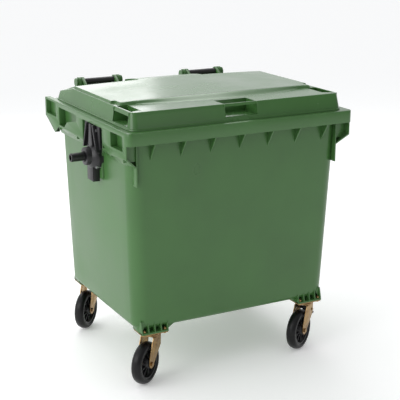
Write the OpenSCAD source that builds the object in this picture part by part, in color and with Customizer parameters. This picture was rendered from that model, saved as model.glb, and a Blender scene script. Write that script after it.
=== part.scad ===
// Four-wheeled waste container with a flat hinged lid, comb rim and side trunnions.
// Frame: origin on the ground under the middle of the rim, +X to the right,
// -Y to the front where the comb and the lid grips are, +Z up.

/* [Rim] */
// Overall width of the rim frame
rim_w = 1161; // [1040:1:1400]
// Overall depth of the rim frame, from the front band to the ends of the rear arms
rim_d = 1028; // [860:1:1240]
// Height of the rim's top face above the ground
rim_top = 1210; // [1000:1:1460]
// Height of the front and rear bands
rim_band = 58; // [50:1:70]
// Depth of the side plates, from the top face to the sill of their pockets
side_drop = 117; // [105:1:130]
// Outer corner radius of the rim
rim_r = 26; // [12:1:40]
// How far the rear band stands back from the ends of the rear arms
rear_setback = 62; // [56:1:80]

/* [Tub] */
// Wall thickness of the tub
wall = 5; // [4:0.5:7]
// How much narrower each side of the tub is at the bottom than at the top
side_draft = 36; // [20:1:60]
// Distance from the rim's front face to the tub's front wall at the top
front_inset = 58; // [50:1:75]
// How much further back the front wall is at the bottom
front_draft = 37; // [20:1:50]
// Distance from the rim's rear end to the tub's rear wall
rear_inset = 110; // [104:1:125]
// Distance from the rim's side face to the tub's side wall at the top
side_inset = 31; // [28:1:36]
// Vertical corner radius of the tub
tub_r = 66; // [40:1:90]
// Number of comb ribs under the front band
comb_count = 7; // [5:1:9]
// Distance between neighbouring comb ribs
comb_pitch = 149; // [110:1:150]
// Thickness of the comb ribs and webs
rib_t = 6; // [4:0.5:8]

/* [Lid] */
// Height of the lid's front ledge above the rim
lid_h = 77; // [66:1:90]
// Wall thickness of the lid
lid_wall = 4; // [3:0.5:5]
// Height of the raised main panel above the front ledge, at the lid's sides
panel_rise = 9; // [6:1:12]
// Extra height of the main panel at the middle of the lid
crown = 9; // [4:1:12]
// Width of the front grip in the lid
grip_w = 165; // [120:1:190]
// Gap between the closed lid and the rim
lid_gap = 0.3; // [0.2:0.1:0.5]

/* [Hinge] */
// Outer diameter of the hinge rods
rod_d = 37; // [32:1:42]
// Distance between the middles of the two hinge rods
rod_span = 596; // [520:1:640]
// Distance between the outer faces of one rod's two cheeks
cheek_span = 229; // [190:1:250]
// Thickness of the cheeks on the tub and of the lugs on the lid
ear_t = 16; // [12:1:20]
// Outer radius of the cheeks and lugs
ear_r = 26; // [25:0.5:28]
// Height of the rod's axis above the rim
rod_lift = 62; // [60:1:66]

/* [Trunnions] */
// How far each lifting trunnion's tip stands out from the rim's side face
trunnion_out = 104.5; // [70:0.5:240]
// Diameter of the trunnion pins
trunnion_d = 40; // [34:1:44]
// Distance of the trunnion axis below the rim's top face
trunnion_drop = 178; // [140:1:350]
// Distance of the trunnion axis behind the rim's front face
trunnion_y = 416; // [400:1:440]

/* [Castors] */
// Wheel diameter
wheel_d = 200; // [160:1:210]
// Wheel width
wheel_w = 50; // [40:1:54]
// Height of the castor, from the ground to the top of its plate
castor_h = 243; // [240:1:292]
// Distance from the swivel axis to the wheel's axis
trail = 57; // [50:1:62]
// Distance between the swivel axes across the container
castor_track = 848; // [780:1:900]
// Distance of the front swivel axes behind the rim's front face
castor_front = 132; // [125:1:180]
// Distance of the rear swivel axes before the rim's rear end
castor_rear = 142; // [136:1:200]
// Length of the castor plate along X
plate_x = 135; // [130:1:140]
// Length of the castor plate along Y
plate_y = 105; // [100:1:110]
// Diameter of the axle bolt
axle_d = 12; // [10:1:14]
// Angle at which the left front castor stands
turn_left_front = -54.5; // [-180:0.5:180]
// Angle at which the right front castor stands
turn_right_front = -59; // [-180:0.5:180]
// Angle at which the left rear castor stands
turn_left_rear = -47; // [-180:0.5:180]
// Angle at which the right rear castor stands
turn_right_rear = -52; // [-180:0.5:180]

/* [Drain] */
// Diameter of the drain hole in the floor
drain_d = 60; // [50:1:80]

/* [Hidden] */
$fn = 48;
e = 0.01;
// clearances: a turning fit, a pushed-in pin, two still faces, and faces that slide past each other
run = 0.05;
pin_fit = 0.02;
near = 0.3;
slide = 1.5;

// the rim's corner points and the tub's wall planes
xr = rim_w / 2;
yf = -rim_d / 2;
yr = rim_d / 2;
band_y = yr - rear_setback;
plate_t = 6;
skin = 5;
band_z = rim_top - rim_band;
sill_z = rim_top - side_drop;
tub_x = xr - side_inset;
tub_yf = yf + front_inset;
tub_yr = yr - rear_inset;

// heights of the tub: its feet stand on the castor plates
foot_z = castor_h;
floor_z = foot_z + 19;
edge_z = floor_z + 30;
edge_in = 26;

// widths and depths of the tub at height z; the rear wall is upright
function share(z) = (z - floor_z) / (rim_top - floor_z);
function half_w(z) = tub_x - side_draft * (1 - share(z));
function front_y(z) = tub_yf + front_draft * (1 - share(z));

// outline of a rounded rectangle
function corner(k, hw, y0, y1, r) = [(k == 0 || k == 3) ? hw - r : r - hw, k < 2 ? y1 - r : y0 + r];
function round_rect(hw, y0, y1, r, n = 4) = [
  for (k = [0:3], i = [0:n])
    corner(k, hw, y0, y1, r) + r * [cos(90 * (k + i / n)), sin(90 * (k + i / n))]];

// one ring of the tub at height z, moved in from the section that the tub has at height h
function tub_ring(z, h, inset) = [
  for (p = round_rect(half_w(h) - inset, front_y(h) + inset, tub_yr - inset, max(tub_r - inset, 12)))
    [p.x, p.y, z]];

// the tapered form of the tub from its rounded lower edge up to the height high
module tub_form(inset, low, high) {
  rings = [
    tub_ring(low, low, edge_in + inset), tub_ring(low + 9, low + 9, edge_in / 3 + inset),
    tub_ring(edge_z + inset, edge_z, inset), tub_ring(high, rim_top, inset)];
  n = len(rings[0]);
  last = len(rings) - 1;
  polyhedron(
    points = [for (ring = rings) each ring],
    faces = concat(
      [[for (i = [0:n - 1]) i]],
      [for (k = [0:last - 1], i = [0:n - 1]) let (j = (i + 1) % n, a = k * n) [a + i, a + n + i, a + n + j]],
      [for (k = [0:last - 1], i = [0:n - 1]) let (j = (i + 1) % n, a = k * n) [a + i, a + n + j, a + j]],
      [[for (i = [n - 1:-1:0]) last * n + i]]));
}

// a plate cut from an outline in the YZ plane, from x0 to x1
module yz_plate(x0, x1, pts) {
  translate([x0, 0, 0])
    rotate([90, 0, 90])
      linear_extrude(x1 - x0)
        polygon(pts);
}

// a plate cut from an outline in the XZ plane, from y0 to y1
module xz_plate(y0, y1, pts) {
  translate([0, y1, 0])
    rotate([90, 0, 0])
      linear_extrude(y1 - y0)
        polygon(pts);
}

// a box given by its two corners
module block(low, high) {
  translate(low) cube(high - low);
}

module both_sides() {
  children();
  mirror([1, 0, 0]) children();
}

// pockets in the side plates: [front, rear, bottom, top], measured from the rim's front face
pockets = [[60, 190, 0, side_drop - 28], [602, 831, 0, side_drop - 24], [885, 985, 29, side_drop - 21]];
recess_y = [trunnion_y - 128, trunnion_y + 104];
arm_low = 97;

module side_plate() {
  arm_y = tub_yr - 18;
  difference() {
    yz_plate(xr - skin, xr, [
      [yf + rim_r, rim_top - e], [yf + rim_r, sill_z], [arm_y - 60, sill_z],
      [arm_y, sill_z - 43], [yr - rim_r / 2, rim_top - arm_low], [yr - rim_r / 2, rim_top - e]]);
    for (p = pockets)
      block([xr - skin - 1, yf + p[0], sill_z + p[2]], [xr + 1, yf + p[1], sill_z + p[3]]);
    block([xr - skin - 1, yf + recess_y[0], sill_z - 1], [xr + 1, yf + recess_y[1], rim_top - 27]);
  }
}

// webs around the pockets, from the side plate back to the wall
module side_webs() {
  x0 = half_w(sill_z) - wall / 2;
  for (y = [pockets[0][0], pockets[0][1] + rib_t, recess_y[0], recess_y[1] + rib_t, pockets[1][0],
            pockets[1][1] + rib_t, pockets[2][0]])
    block([x0, yf + y - rib_t, sill_z - 20], [xr - 1, yf + y, rim_top - plate_t]);
  // the sill under the pockets slopes back to the wall
  difference() {
    xz_plate(yf + rim_r + skin, tub_yr - 60, [
      [xr, sill_z + skin], [xr, sill_z], [half_w(sill_z - 43) + 2, sill_z - 43],
      [half_w(sill_z - 43) - wall, sill_z - 43], [xr - skin, sill_z - 2], [half_w(sill_z) - wall / 2, sill_z],
      [half_w(sill_z) - wall / 2, sill_z + skin]]);
    block([tub_x - 20, yf + recess_y[0], sill_z - 60], [xr + 1, yf + recess_y[1], rim_top]);
  }
}

module rear_arm() {
  x_in = tub_x + 3;
  arm = [[tub_yr - 18, sill_z - 43], [yr - rim_r / 2, rim_top - arm_low], [yr - rim_r / 2, rim_top - e],
         [tub_yr - 18, rim_top - e]];
  yz_plate(x_in, x_in + skin, arm);
  xz_plate(yr - rim_r / 2 - skin, yr, [
    [x_in, rim_top - arm_low], [xr, rim_top - arm_low], [xr, rim_top - e], [x_in, rim_top - e]]);
  // the closed lower edge of the arm
  yz_plate(x_in, xr, [
    [tub_yr - 18, sill_z - 43], [yr - rim_r / 2, rim_top - arm_low],
    [yr - rim_r / 2, rim_top - arm_low + skin], [tub_yr - 18, sill_z - 43 + skin]]);
}

// the upright fin at each front corner, and the skin from it out to the side plate
fin_x = xr - 58;
fin_y = yf + 46;
fin_low = sill_z - 135;
fin_sag = 41;
module corner_fin() {
  top_y = tub_yf + tub_r / 2;
  low_y = top_y + front_draft * (1 - share(fin_low));
  yz_plate(fin_x - rib_t, fin_x, [
    [fin_y, fin_low], [low_y, fin_low], [top_y, rim_top - plate_t], [fin_y, rim_top - plate_t]]);
  xz_plate(fin_y, top_y, [
    [xr, sill_z + skin], [xr, sill_z], [fin_x - 1, sill_z - fin_sag - skin], [fin_x - 1, sill_z - fin_sag],
    [xr - skin, sill_z + skin]]);
}

module rim_outline(inset) {
  polygon(concat(
    [for (k = [0:1], i = [0:4])
      let (a = 90 * (k + i / 4), c = corner(k, xr, yf, yr, rim_r / 2))
        c + (rim_r / 2 - inset) * [cos(a), sin(a)]],
    [for (k = [2:3], i = [0:6])
      let (a = 90 * (k + i / 6), c = corner(k, xr, yf, yr, rim_r))
        c + (rim_r - inset) * [cos(a), sin(a)]]));
}

module rim() {
  // top plate, set back between the rear arms
  translate([0, 0, rim_top - plate_t])
    linear_extrude(plate_t)
      difference() {
        rim_outline(0);
        translate([-tub_x - 3, band_y]) square([2 * tub_x + 6, rim_d]);
      }
  // front band
  translate([0, 0, band_z])
    linear_extrude(rim_band)
      intersection() {
        difference() {
          rim_outline(0);
          rim_outline(skin);
        }
        translate([-rim_w, yf - 1]) square([2 * rim_w, rim_r + 30]);
      }
  // rear band
  block([-tub_x - 4, band_y - skin, band_z], [tub_x + 4, band_y, rim_top]);
}

module comb() {
  for (i = [0:comb_count - 1]) {
    x = (i - (comb_count - 1) / 2) * comb_pitch;
    yz_plate(x - rib_t / 2, x + rib_t / 2, [
      [yf + 2, band_z + 6], [yf + 10, band_z], [front_y(band_z - 82) - 2, band_z - 82],
      [front_y(band_z - 82) + 3, band_z - 82], [tub_yf + 3, rim_top - plate_t], [yf + 2, rim_top - plate_t]]);
  }
}

// the four castors: [x, y, turn]
castors = [
  [-castor_track / 2, yf + castor_front, turn_left_front],
  [castor_track / 2, yf + castor_front, turn_right_front],
  [-castor_track / 2, yr - castor_rear, turn_left_rear],
  [castor_track / 2, yr - castor_rear, turn_right_rear]];
bolt_x = 105;
bolt_y = 75;
bolt_r = 5;
foot_base = 8;
foot_top = edge_z + 12;

module at_bolts() {
  for (sx = [-1, 1], sy = [-1, 1])
    translate([sx * bolt_x / 2, sy * bolt_y / 2, 0]) children();
}

// a foot of the tub, over a castor; its outer side faces +X
module foot() {
  flank = 41;
  difference() {
    xz_plate(-plate_y / 2, plate_y / 2, [
      [-plate_x / 2, foot_z], [plate_x / 2, foot_z], [plate_x / 2 + 6, foot_top],
      [-plate_x / 2 - flank, foot_top], [-plate_x / 2 - flank, floor_z + 24]]);
    for (i = [0:3]) {
      x0 = -plate_x / 2 + rib_t + i * (plate_x - rib_t) / 4;
      x1 = x0 + (plate_x - rib_t) / 4 - rib_t;
      for (s = [-1, 1])
        block([x0, s > 0 ? plate_y / 2 - 38 : -plate_y / 2 - 1, foot_z + foot_base],
              [x1, s > 0 ? plate_y / 2 + 1 : -plate_y / 2 + 38, foot_top + 1]);
    }
    translate([0, 0, foot_z - 1])
      at_bolts() cylinder(r = bolt_r + 0.5, h = foot_base + 2);
  }
}

// the raised pad behind each trunnion bracket
trun_y = yf + trunnion_y;
trunnion_z = rim_top - trunnion_drop;
pad_x = xr - 14;
module trunnion_pad() {
  difference() {
    block([half_w(trunnion_z - 140) - wall, trun_y - 74, trunnion_z - 132],
          [pad_x - near, trun_y + 74, rim_top - 25]);
    trunnion_screw_places()
      rotate([0, 90, 0]) cylinder(r = screw_r, h = 40, center = true);
  }
}
screw_r = 4;
module trunnion_screw_places() {
  for (sy = [-1, 1]) {
    translate([pad_x, trun_y + sy * 56, rim_top - 52]) children();
    translate([pad_x, trun_y + sy * 50, trunnion_z - 45]) children();
  }
}

// hinge geometry
rod_y = band_y + 34;
rod_z = rim_top + rod_lift;
rod_r = rod_d / 2;
rod_xs = [-rod_span / 2, rod_span / 2];

module cheek(x0) {
  difference() {
    union() {
      translate([x0, rod_y, rod_z]) rotate([0, 90, 0]) cylinder(r = ear_r, h = ear_t);
      yz_plate(x0, x0 + ear_t, [
        [band_y - 1, band_z], [band_y - 1, rim_top - 1], [band_y + 1, rim_top - 1],
        [rod_y - ear_r * 0.94, rod_z + ear_r * 0.3], [rod_y, rod_z],
        [rod_y + ear_r * 0.94, rod_z - ear_r * 0.3], [band_y + 30, rim_top - 14], [band_y + 4, band_z]]);
    }
    translate([x0 - 1, rod_y, rod_z]) rotate([0, 90, 0]) cylinder(r = rod_r + run, h = ear_t + 2);
  }
}

drain_y = front_y(floor_z) + 150;
boss_h = 8;
module body_tub() {
  color([0.29, 0.44, 0.25])
    difference() {
      union() {
        tub_form(0, floor_z, rim_top);
        rim();
        comb();
        both_sides() {
          side_plate();
          side_webs();
          rear_arm();
          corner_fin();
          trunnion_pad();
        }
        for (c = castors)
          translate([c[0], c[1], 0])
            mirror([c[0] < 0 ? 1 : 0, 0, 0])
              foot();
        for (x = rod_xs) {
          cheek(x - cheek_span / 2);
          cheek(x + cheek_span / 2 - ear_t);
        }
        translate([0, drain_y, floor_z - boss_h]) cylinder(d = drain_d + 22, h = boss_h + 2);
      }
      tub_form(wall, floor_z + wall, rim_top + 4);
      translate([0, drain_y, floor_z - boss_h - 1]) cylinder(r = drain_d / 2 + run, h = boss_h + wall + 20);
    }
}

// the lid: side, front and top faces moved in by t
lid_z0 = rim_top + lid_gap;
lid_x = tub_x - 1;
lid_yf = yf + 37;
lid_yr = band_y - 4;
ledge_z = rim_top + lid_h;
panel_z = ledge_z + panel_rise;
side_lean = 13;
front_lean = 22;
crease_y = lid_yr - 212;
step_y = lid_yf + 153;

function crown_z(x) = panel_z + crown * (1 - pow(x / lid_x, 2));
module lid_form(t, low) {
  intersection() {
    yz_plate(-lid_x, lid_x, [
      [lid_yf + t, low], [lid_yf + front_lean + t, ledge_z - t], [step_y, ledge_z - t],
      [step_y + 44, panel_z + crown - t], [crease_y, panel_z + crown - t], [crease_y + 20, panel_z + 2 - t],
      [lid_yr - 16 - t, rim_top + 39 - t], [lid_yr - t, low]]);
    xz_plate(lid_yf, lid_yr, concat(
      [[lid_x - t, low], [lid_x - side_lean - t, ledge_z - t], [lid_x - side_lean - 5 - t, panel_z - t]],
      [for (i = [-9:9]) [-i / 10 * lid_x, crown_z(i / 10 * lid_x) - t]],
      [[side_lean + 5 + t - lid_x, panel_z - t], [side_lean + t - lid_x, ledge_z - t], [t - lid_x, low]]));
    hull()
      for (z = [low, panel_z + crown]) {
        up = z > low ? 1 : 0;
        translate([0, 0, z])
          linear_extrude(e)
            polygon(round_rect(lid_x - t - side_lean * up, lid_yf + t + front_lean * up,
                               lid_yr - t - 3 * up, 26 - t));
      }
  }
}

// the raised tongue at the rear of the lid, between the hinges
tongue_x = 176;
module tongue(t, low) {
  yz_plate(-tongue_x + t, tongue_x - t, [
    [crease_y - 10, low], [crease_y - 10, panel_z + crown * 0.8 - t], [crease_y, panel_z + crown * 0.8 - t],
    [lid_yr - 24 - t, ledge_z - 8 - t], [lid_yr - 8 - t, ledge_z - 18 - t], [lid_yr - t, low]]);
}

// hand grips: pockets open at the top and through the outer wall, with a bar left at the edge
front_grip_y = 118;
front_grip_lift = 20;
corner_grip_x = 74;
corner_grip_y = [46, 205];
corner_grip_lift = 12;
bar = 12;
module front_grip(t) {
  top = t > 0 ? ledge_z - 1 : ledge_z + panel_rise;
  block([-grip_w / 2 - t, lid_yf + 9, rim_top + front_grip_lift - t],
        [grip_w / 2 + t, lid_yf + front_grip_y + t, top]);
}
module corner_grip(t) {
  top = t > 0 ? ledge_z - 1 : panel_z + crown;
  block([lid_x - corner_grip_x - t, lid_yf + corner_grip_y[0] - t, rim_top + corner_grip_lift - t],
        [lid_x - 2, lid_yf + corner_grip_y[1] + t, top]);
}
module grip_bars() {
  block([-grip_w / 2 - 1, lid_yf + front_lean - 4, ledge_z - bar],
        [grip_w / 2 + 1, lid_yf + front_lean + bar - 4, ledge_z]);
  both_sides()
    block([lid_x - side_lean - 9, lid_yf + corner_grip_y[0] - 1, ledge_z - bar],
          [lid_x - side_lean + 2, lid_yf + corner_grip_y[1] + 1, ledge_z]);
}

module lug(x0) {
  difference() {
    union() {
      translate([x0, rod_y, rod_z]) rotate([0, 90, 0]) cylinder(r = ear_r, h = ear_t);
      yz_plate(x0, x0 + ear_t, [
        [lid_yr - 12, lid_z0 + 4], [lid_yr, lid_z0 + 4], [rod_y + ear_r * 0.34, rod_z - ear_r * 0.93],
        [rod_y, rod_z], [rod_y - ear_r * 0.3, rod_z + ear_r * 0.94], [lid_yr - 34, lid_z0 + 38]]);
    }
    translate([x0 - 1, rod_y, rod_z]) rotate([0, 90, 0]) cylinder(r = rod_r + run, h = ear_t + 2);
  }
}

module lid() {
  color([0.35, 0.5, 0.3]) {
    difference() {
      union() {
        difference() {
          union() {
            lid_form(0, lid_z0);
            tongue(0, lid_z0);
          }
          lid_form(lid_wall, lid_z0 - 1);
          tongue(lid_wall, lid_z0 - 1);
        }
        intersection() {
          union() {
            front_grip(lid_wall);
            both_sides() corner_grip(lid_wall);
          }
          lid_form(0, lid_z0);
        }
        // stiffening ribs under the main panel
        intersection() {
          for (x = [-330, -110, 110, 330])
            block([x - 2, step_y + 30, rim_top + 40], [x + 2, lid_yr - 6, panel_z + crown]);
          lid_form(lid_wall / 2, lid_z0);
        }
      }
      front_grip(0);
      both_sides() corner_grip(0);
    }
    intersection() {
      grip_bars();
      lid_form(0, lid_z0);
    }
    for (x = rod_xs) {
      lug(x - cheek_span / 2 + ear_t + slide);
      lug(x + cheek_span / 2 - 2 * ear_t - slide);
    }
  }
}

// hinge rods: a tube through two cheeks and two lugs, with a plug cap in each end
rod_over = 2;
rod_wall = 4;
cap_t = 9;
module hinge_rod(x) {
  color([0.1, 0.1, 0.11])
    translate([x, rod_y, rod_z])
      rotate([0, 90, 0])
        difference() {
          cylinder(r = rod_r, h = cheek_span + 2 * rod_over, center = true);
          cylinder(r = rod_r - rod_wall, h = cheek_span + 40, center = true);
        }
}
module hinge_rod_left() { hinge_rod(rod_xs[0]); }
module hinge_rod_right() { hinge_rod(rod_xs[1]); }
module hinge_rod_caps() {
  color([0.29, 0.44, 0.25])
    for (x = rod_xs, s = [-1, 1])
      translate([x + s * (cheek_span / 2 + rod_over), rod_y, rod_z])
        rotate([0, s * 90, 0]) {
          cylinder(r = rod_r + 3, h = cap_t);
          translate([0, 0, -16]) cylinder(r = rod_r - rod_wall - run, h = 17);
        }
}

// trunnion bracket: domed disc, boss, arm with two ridges and a hollow foot, on the pad;
// drawn for the right side
boss_x = xr + 37;
boss_r = 43;
disc_r = 66;
disc_z = trunnion_z - 8;
bracket_t = 9;
arm_w = 176;
arm_top = rim_top - 28;
ridge_t = 24;
bracket_foot_w = 92;
bracket_foot_t = 36;
pin_seat = 6;
pin_wall = 6;
seat_r = trunnion_d / 2 + 1;

module along_x(x, y, z) {
  translate([x, y, z]) rotate([0, 90, 0]) children();
}
module bracket() {
  color([0.1, 0.1, 0.12])
    difference() {
      union() {
        along_x(pad_x, trun_y, disc_z) cylinder(r = disc_r, h = bracket_t);
        along_x(pad_x + bracket_t, trun_y, disc_z) cylinder(r1 = disc_r, r2 = disc_r - 20, h = ridge_t);
        along_x(pad_x, trun_y, trunnion_z) cylinder(r = boss_r, h = boss_x - pad_x);
        block([pad_x, trun_y - arm_w / 2, trunnion_z + 10], [pad_x + bracket_t, trun_y + arm_w / 2, arm_top]);
        for (s = [-1, 1])
          yz_plate(pad_x, pad_x + ridge_t, [
            [trun_y + s * 84, trunnion_z + 30], [trun_y + s * 74, trunnion_z + 30],
            [trun_y + s * 30, arm_top], [trun_y + s * 44, arm_top]]);
        yz_plate(pad_x, pad_x + ridge_t - 4, [
          [trun_y - 26, trunnion_z + 20], [trun_y + 26, trunnion_z + 20], [trun_y + 12, arm_top],
          [trun_y - 12, arm_top]]);
        block([pad_x, trun_y - bracket_foot_w / 2, trunnion_z - 117],
              [pad_x + bracket_foot_t, trun_y + bracket_foot_w / 2, trunnion_z - 30]);
      }
      along_x(pad_x + pin_seat, trun_y, trunnion_z) cylinder(r = seat_r + pin_fit, h = 200);
      block([pad_x + 5, trun_y - bracket_foot_w / 2 + 6, trunnion_z - 118],
            [pad_x + bracket_foot_t - 5, trun_y + bracket_foot_w / 2 - 6, trunnion_z - 74]);
      trunnion_screw_places()
        rotate([0, 90, 0]) {
          cylinder(r = screw_r + near, h = 60, center = true);
          translate([0, 0, bracket_t]) cylinder(r = 9, h = 60);
        }
    }
}
module trunnion_bracket_left() { mirror([1, 0, 0]) bracket(); }
module trunnion_bracket_right() { bracket(); }

// tube that is seated in the boss and stands out of it, with a chamfered end
tip_chamfer = 2;
module pin() {
  long = xr + trunnion_out - pad_x - pin_seat;
  color([0.14, 0.14, 0.15])
    along_x(pad_x + pin_seat, trun_y, trunnion_z)
      rotate_extrude()
        polygon([
          [0, 0], [seat_r, 0], [seat_r, boss_x - pad_x - pin_seat], [trunnion_d / 2, boss_x - pad_x - pin_seat],
          [trunnion_d / 2, long - tip_chamfer], [trunnion_d / 2 - tip_chamfer, long],
          [trunnion_d / 2 - pin_wall, long], [trunnion_d / 2 - pin_wall, 12], [0, 12]]);
}
module trunnion_pin_left() { mirror([1, 0, 0]) pin(); }
module trunnion_pin_right() { pin(); }

module trunnion_screws() {
  color([0.6, 0.6, 0.62])
    both_sides()
      trunnion_screw_places()
        rotate([0, 90, 0]) {
          translate([0, 0, bracket_t]) cylinder(r = 7, h = 5, $fn = 6);
          translate([0, 0, -16]) cylinder(r = screw_r - run, h = 17 + bracket_t);
        }
}

// drain plug with a quarter-turn wing grip, and its ring seal
seal_t = 3;
flange_t = 7;
module drain_plug() {
  color([0.12, 0.12, 0.12])
    translate([0, drain_y, 0]) {
      z0 = floor_z - boss_h - seal_t;
      cylinder_between(z0, floor_z + 1, drain_d / 2);
      cylinder_between(z0 - flange_t, z0, drain_d / 2 + 9);
      block([-24, -3, z0 - flange_t - 12], [24, 3, z0 - flange_t + 1]);
    }
}
module cylinder_between(z0, z1, r) {
  translate([0, 0, z0]) cylinder(r = r, h = z1 - z0);
}
module drain_seal() {
  color([0.05, 0.05, 0.05])
    translate([0, drain_y, floor_z - boss_h - seal_t])
      difference() {
        cylinder(d = drain_d + 14, h = seal_t - e);
        translate([0, 0, -1]) cylinder(r = drain_d / 2 + near, h = seal_t + 2);
      }
}

// castor pieces, each drawn about its own swivel axis with the wheel trailing to -Y
castor_plate_t = 4;
head_z = castor_h - castor_plate_t;
wheel_r = wheel_d / 2;
axle_z = wheel_r;
leg_t = 4;
leg_in = wheel_w / 2 + 6;
crown_z1 = head_z - 16;
// the swivel's ball ring
race_r = 27;
ball_r = 3.7;
ball_z = head_z - 8.5;
ball_count = 16;
kingpin_r = 6;

module place(c) {
  translate([c[0], c[1], 0]) rotate([0, 0, c[2]]) children();
}
module set_on(c) {
  translate([c[0], c[1], 0]) children();
}

// top plate with its pressed upper race; it stands square to the tub
module castor_plate(c) {
  color([0.72, 0.58, 0.36])
    set_on(c)
      difference() {
        union() {
          translate([0, 0, head_z])
            linear_extrude(castor_plate_t - e)
              polygon(round_rect(plate_x / 2, -plate_y / 2, plate_y / 2, 9));
          cylinder_between(head_z - 4, head_z + 1, 36);
        }
        cylinder_between(head_z - 9, head_z + castor_plate_t + 2, kingpin_r + 0.1);
        translate([0, 0, ball_z]) rotate_extrude() translate([race_r, 0]) circle(ball_r + near);
        translate([0, 0, head_z - 1]) at_bolts() cylinder(r = bolt_r + 0.5, h = castor_plate_t + 3);
      }
}
module castor_balls(c) {
  color([0.75, 0.76, 0.78])
    place(c)
      for (i = [0:ball_count - 1])
        rotate([0, 0, 360 / ball_count * i])
          translate([race_r, 0, ball_z]) sphere(ball_r, $fn = 24);
}
module castor_kingpin(c) {
  color([0.7, 0.6, 0.4])
    set_on(c) {
      cylinder_between(crown_z1 - 9, castor_h - near, kingpin_r);
      cylinder_between(crown_z1 - 10, crown_z1 - 2 - 0.4, kingpin_r + 5);
    }
}

// fork: crown with the lower race, and two legs folded down from it
module castor_fork(c) {
  color([0.76, 0.61, 0.38])
    place(c)
      difference() {
        union() {
          cylinder_between(crown_z1 - 2, crown_z1 + 5.5, 38);
          yz_plate(-leg_in - leg_t, leg_in + leg_t, [
            [-34, crown_z1 - 2], [34, crown_z1 - 2], [34, crown_z1 + 2], [-34, crown_z1 + 2]]);
          both_sides()
            yz_plate(leg_in, leg_in + leg_t, concat(
              [[34, crown_z1 + 2], [-34, crown_z1 + 2], [-trail - 19, axle_z + 30]],
              [for (i = [0:12]) [-trail + 21 * cos(165 + 15 * i), axle_z + 21 * sin(165 + 15 * i)]],
              [[30, crown_z1 - 54]]));
        }
        cylinder_between(crown_z1 - 4, crown_z1 + 9, kingpin_r + near);
        translate([0, 0, ball_z]) rotate_extrude() translate([race_r, 0]) circle(ball_r + near);
        translate([-100, -trail, axle_z]) rotate([0, 90, 0]) cylinder(r = axle_d / 2 + 0.1, h = 200);
        translate([-100, pedal_y, pedal_z]) rotate([0, 90, 0]) cylinder(r = pedal_pin_r + run, h = 200);
      }
}
module castor_axle_bolt(c) {
  color([0.75, 0.64, 0.42])
    place(c)
      translate([0, -trail, axle_z])
        rotate([0, 90, 0]) {
          translate([0, 0, leg_in + leg_t + e]) cylinder(d = axle_d * 1.75, h = 7, $fn = 6);
          translate([0, 0, -leg_in - leg_t - 13]) cylinder(d = axle_d, h = 2 * (leg_in + leg_t) + 14);
        }
}
module castor_axle_nut(c) {
  color([0.75, 0.64, 0.42])
    place(c)
      translate([-leg_in - leg_t - 10, -trail, axle_z])
        rotate([0, 90, 0])
          difference() {
            cylinder(d = axle_d * 1.75, h = 10 - e, $fn = 6);
            translate([0, 0, -1]) cylinder(d = axle_d + 0.06, h = 14);
          }
}
// fixed sleeve between the legs, on which the wheel's bearing runs
sleeve_r = axle_d / 2 + 4;
bearing_r = sleeve_r + 5;
module castor_sleeve(c) {
  color([0.6, 0.6, 0.62])
    place(c)
      translate([-leg_in + e, -trail, axle_z])
        rotate([0, 90, 0])
          difference() {
            cylinder(r = sleeve_r, h = 2 * leg_in - 2 * e);
            translate([0, 0, -1]) cylinder(d = axle_d + 0.1, h = 100);
          }
}
hub_half = wheel_w / 2 + 3;
module castor_bearing(c) {
  color([0.85, 0.85, 0.8])
    place(c)
      translate([-hub_half + 1, -trail, axle_z])
        rotate([0, 90, 0])
          difference() {
            cylinder(r = bearing_r, h = 2 * hub_half - 2);
            translate([0, 0, -1]) cylinder(r = sleeve_r + run, h = 100);
          }
}
rim_core_r = wheel_r - 27;
module castor_core(c) {
  color([0.1, 0.1, 0.11])
    place(c)
      translate([0, -trail, axle_z])
        rotate([0, 90, 0])
          rotate_extrude()
            polygon([
              [bearing_r + pin_fit, -hub_half], [bearing_r + 9, -hub_half], [bearing_r + 13, -12],
              [rim_core_r - 9, -9], [rim_core_r - 6, -wheel_w / 2 + 5], [rim_core_r, -wheel_w / 2 + 5],
              [rim_core_r, wheel_w / 2 - 5], [rim_core_r - 6, wheel_w / 2 - 5], [rim_core_r - 9, 9],
              [bearing_r + 13, 12], [bearing_r + 9, hub_half], [bearing_r + pin_fit, hub_half]]);
}
module castor_tyre(c) {
  w = wheel_w / 2;
  color([0.09, 0.09, 0.1])
    place(c)
      translate([0, -trail, axle_z])
        rotate([0, 90, 0])
          rotate_extrude()
            polygon(concat(
              [[rim_core_r + e, -w + 4], [rim_core_r + 6, -w]],
              [for (i = [0:10]) [wheel_r - 14 + 14 * sin(18 * i), -(w - 2) * cos(18 * i)]],
              [[rim_core_r + 6, w], [rim_core_r + e, w - 4]]));
}

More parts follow.
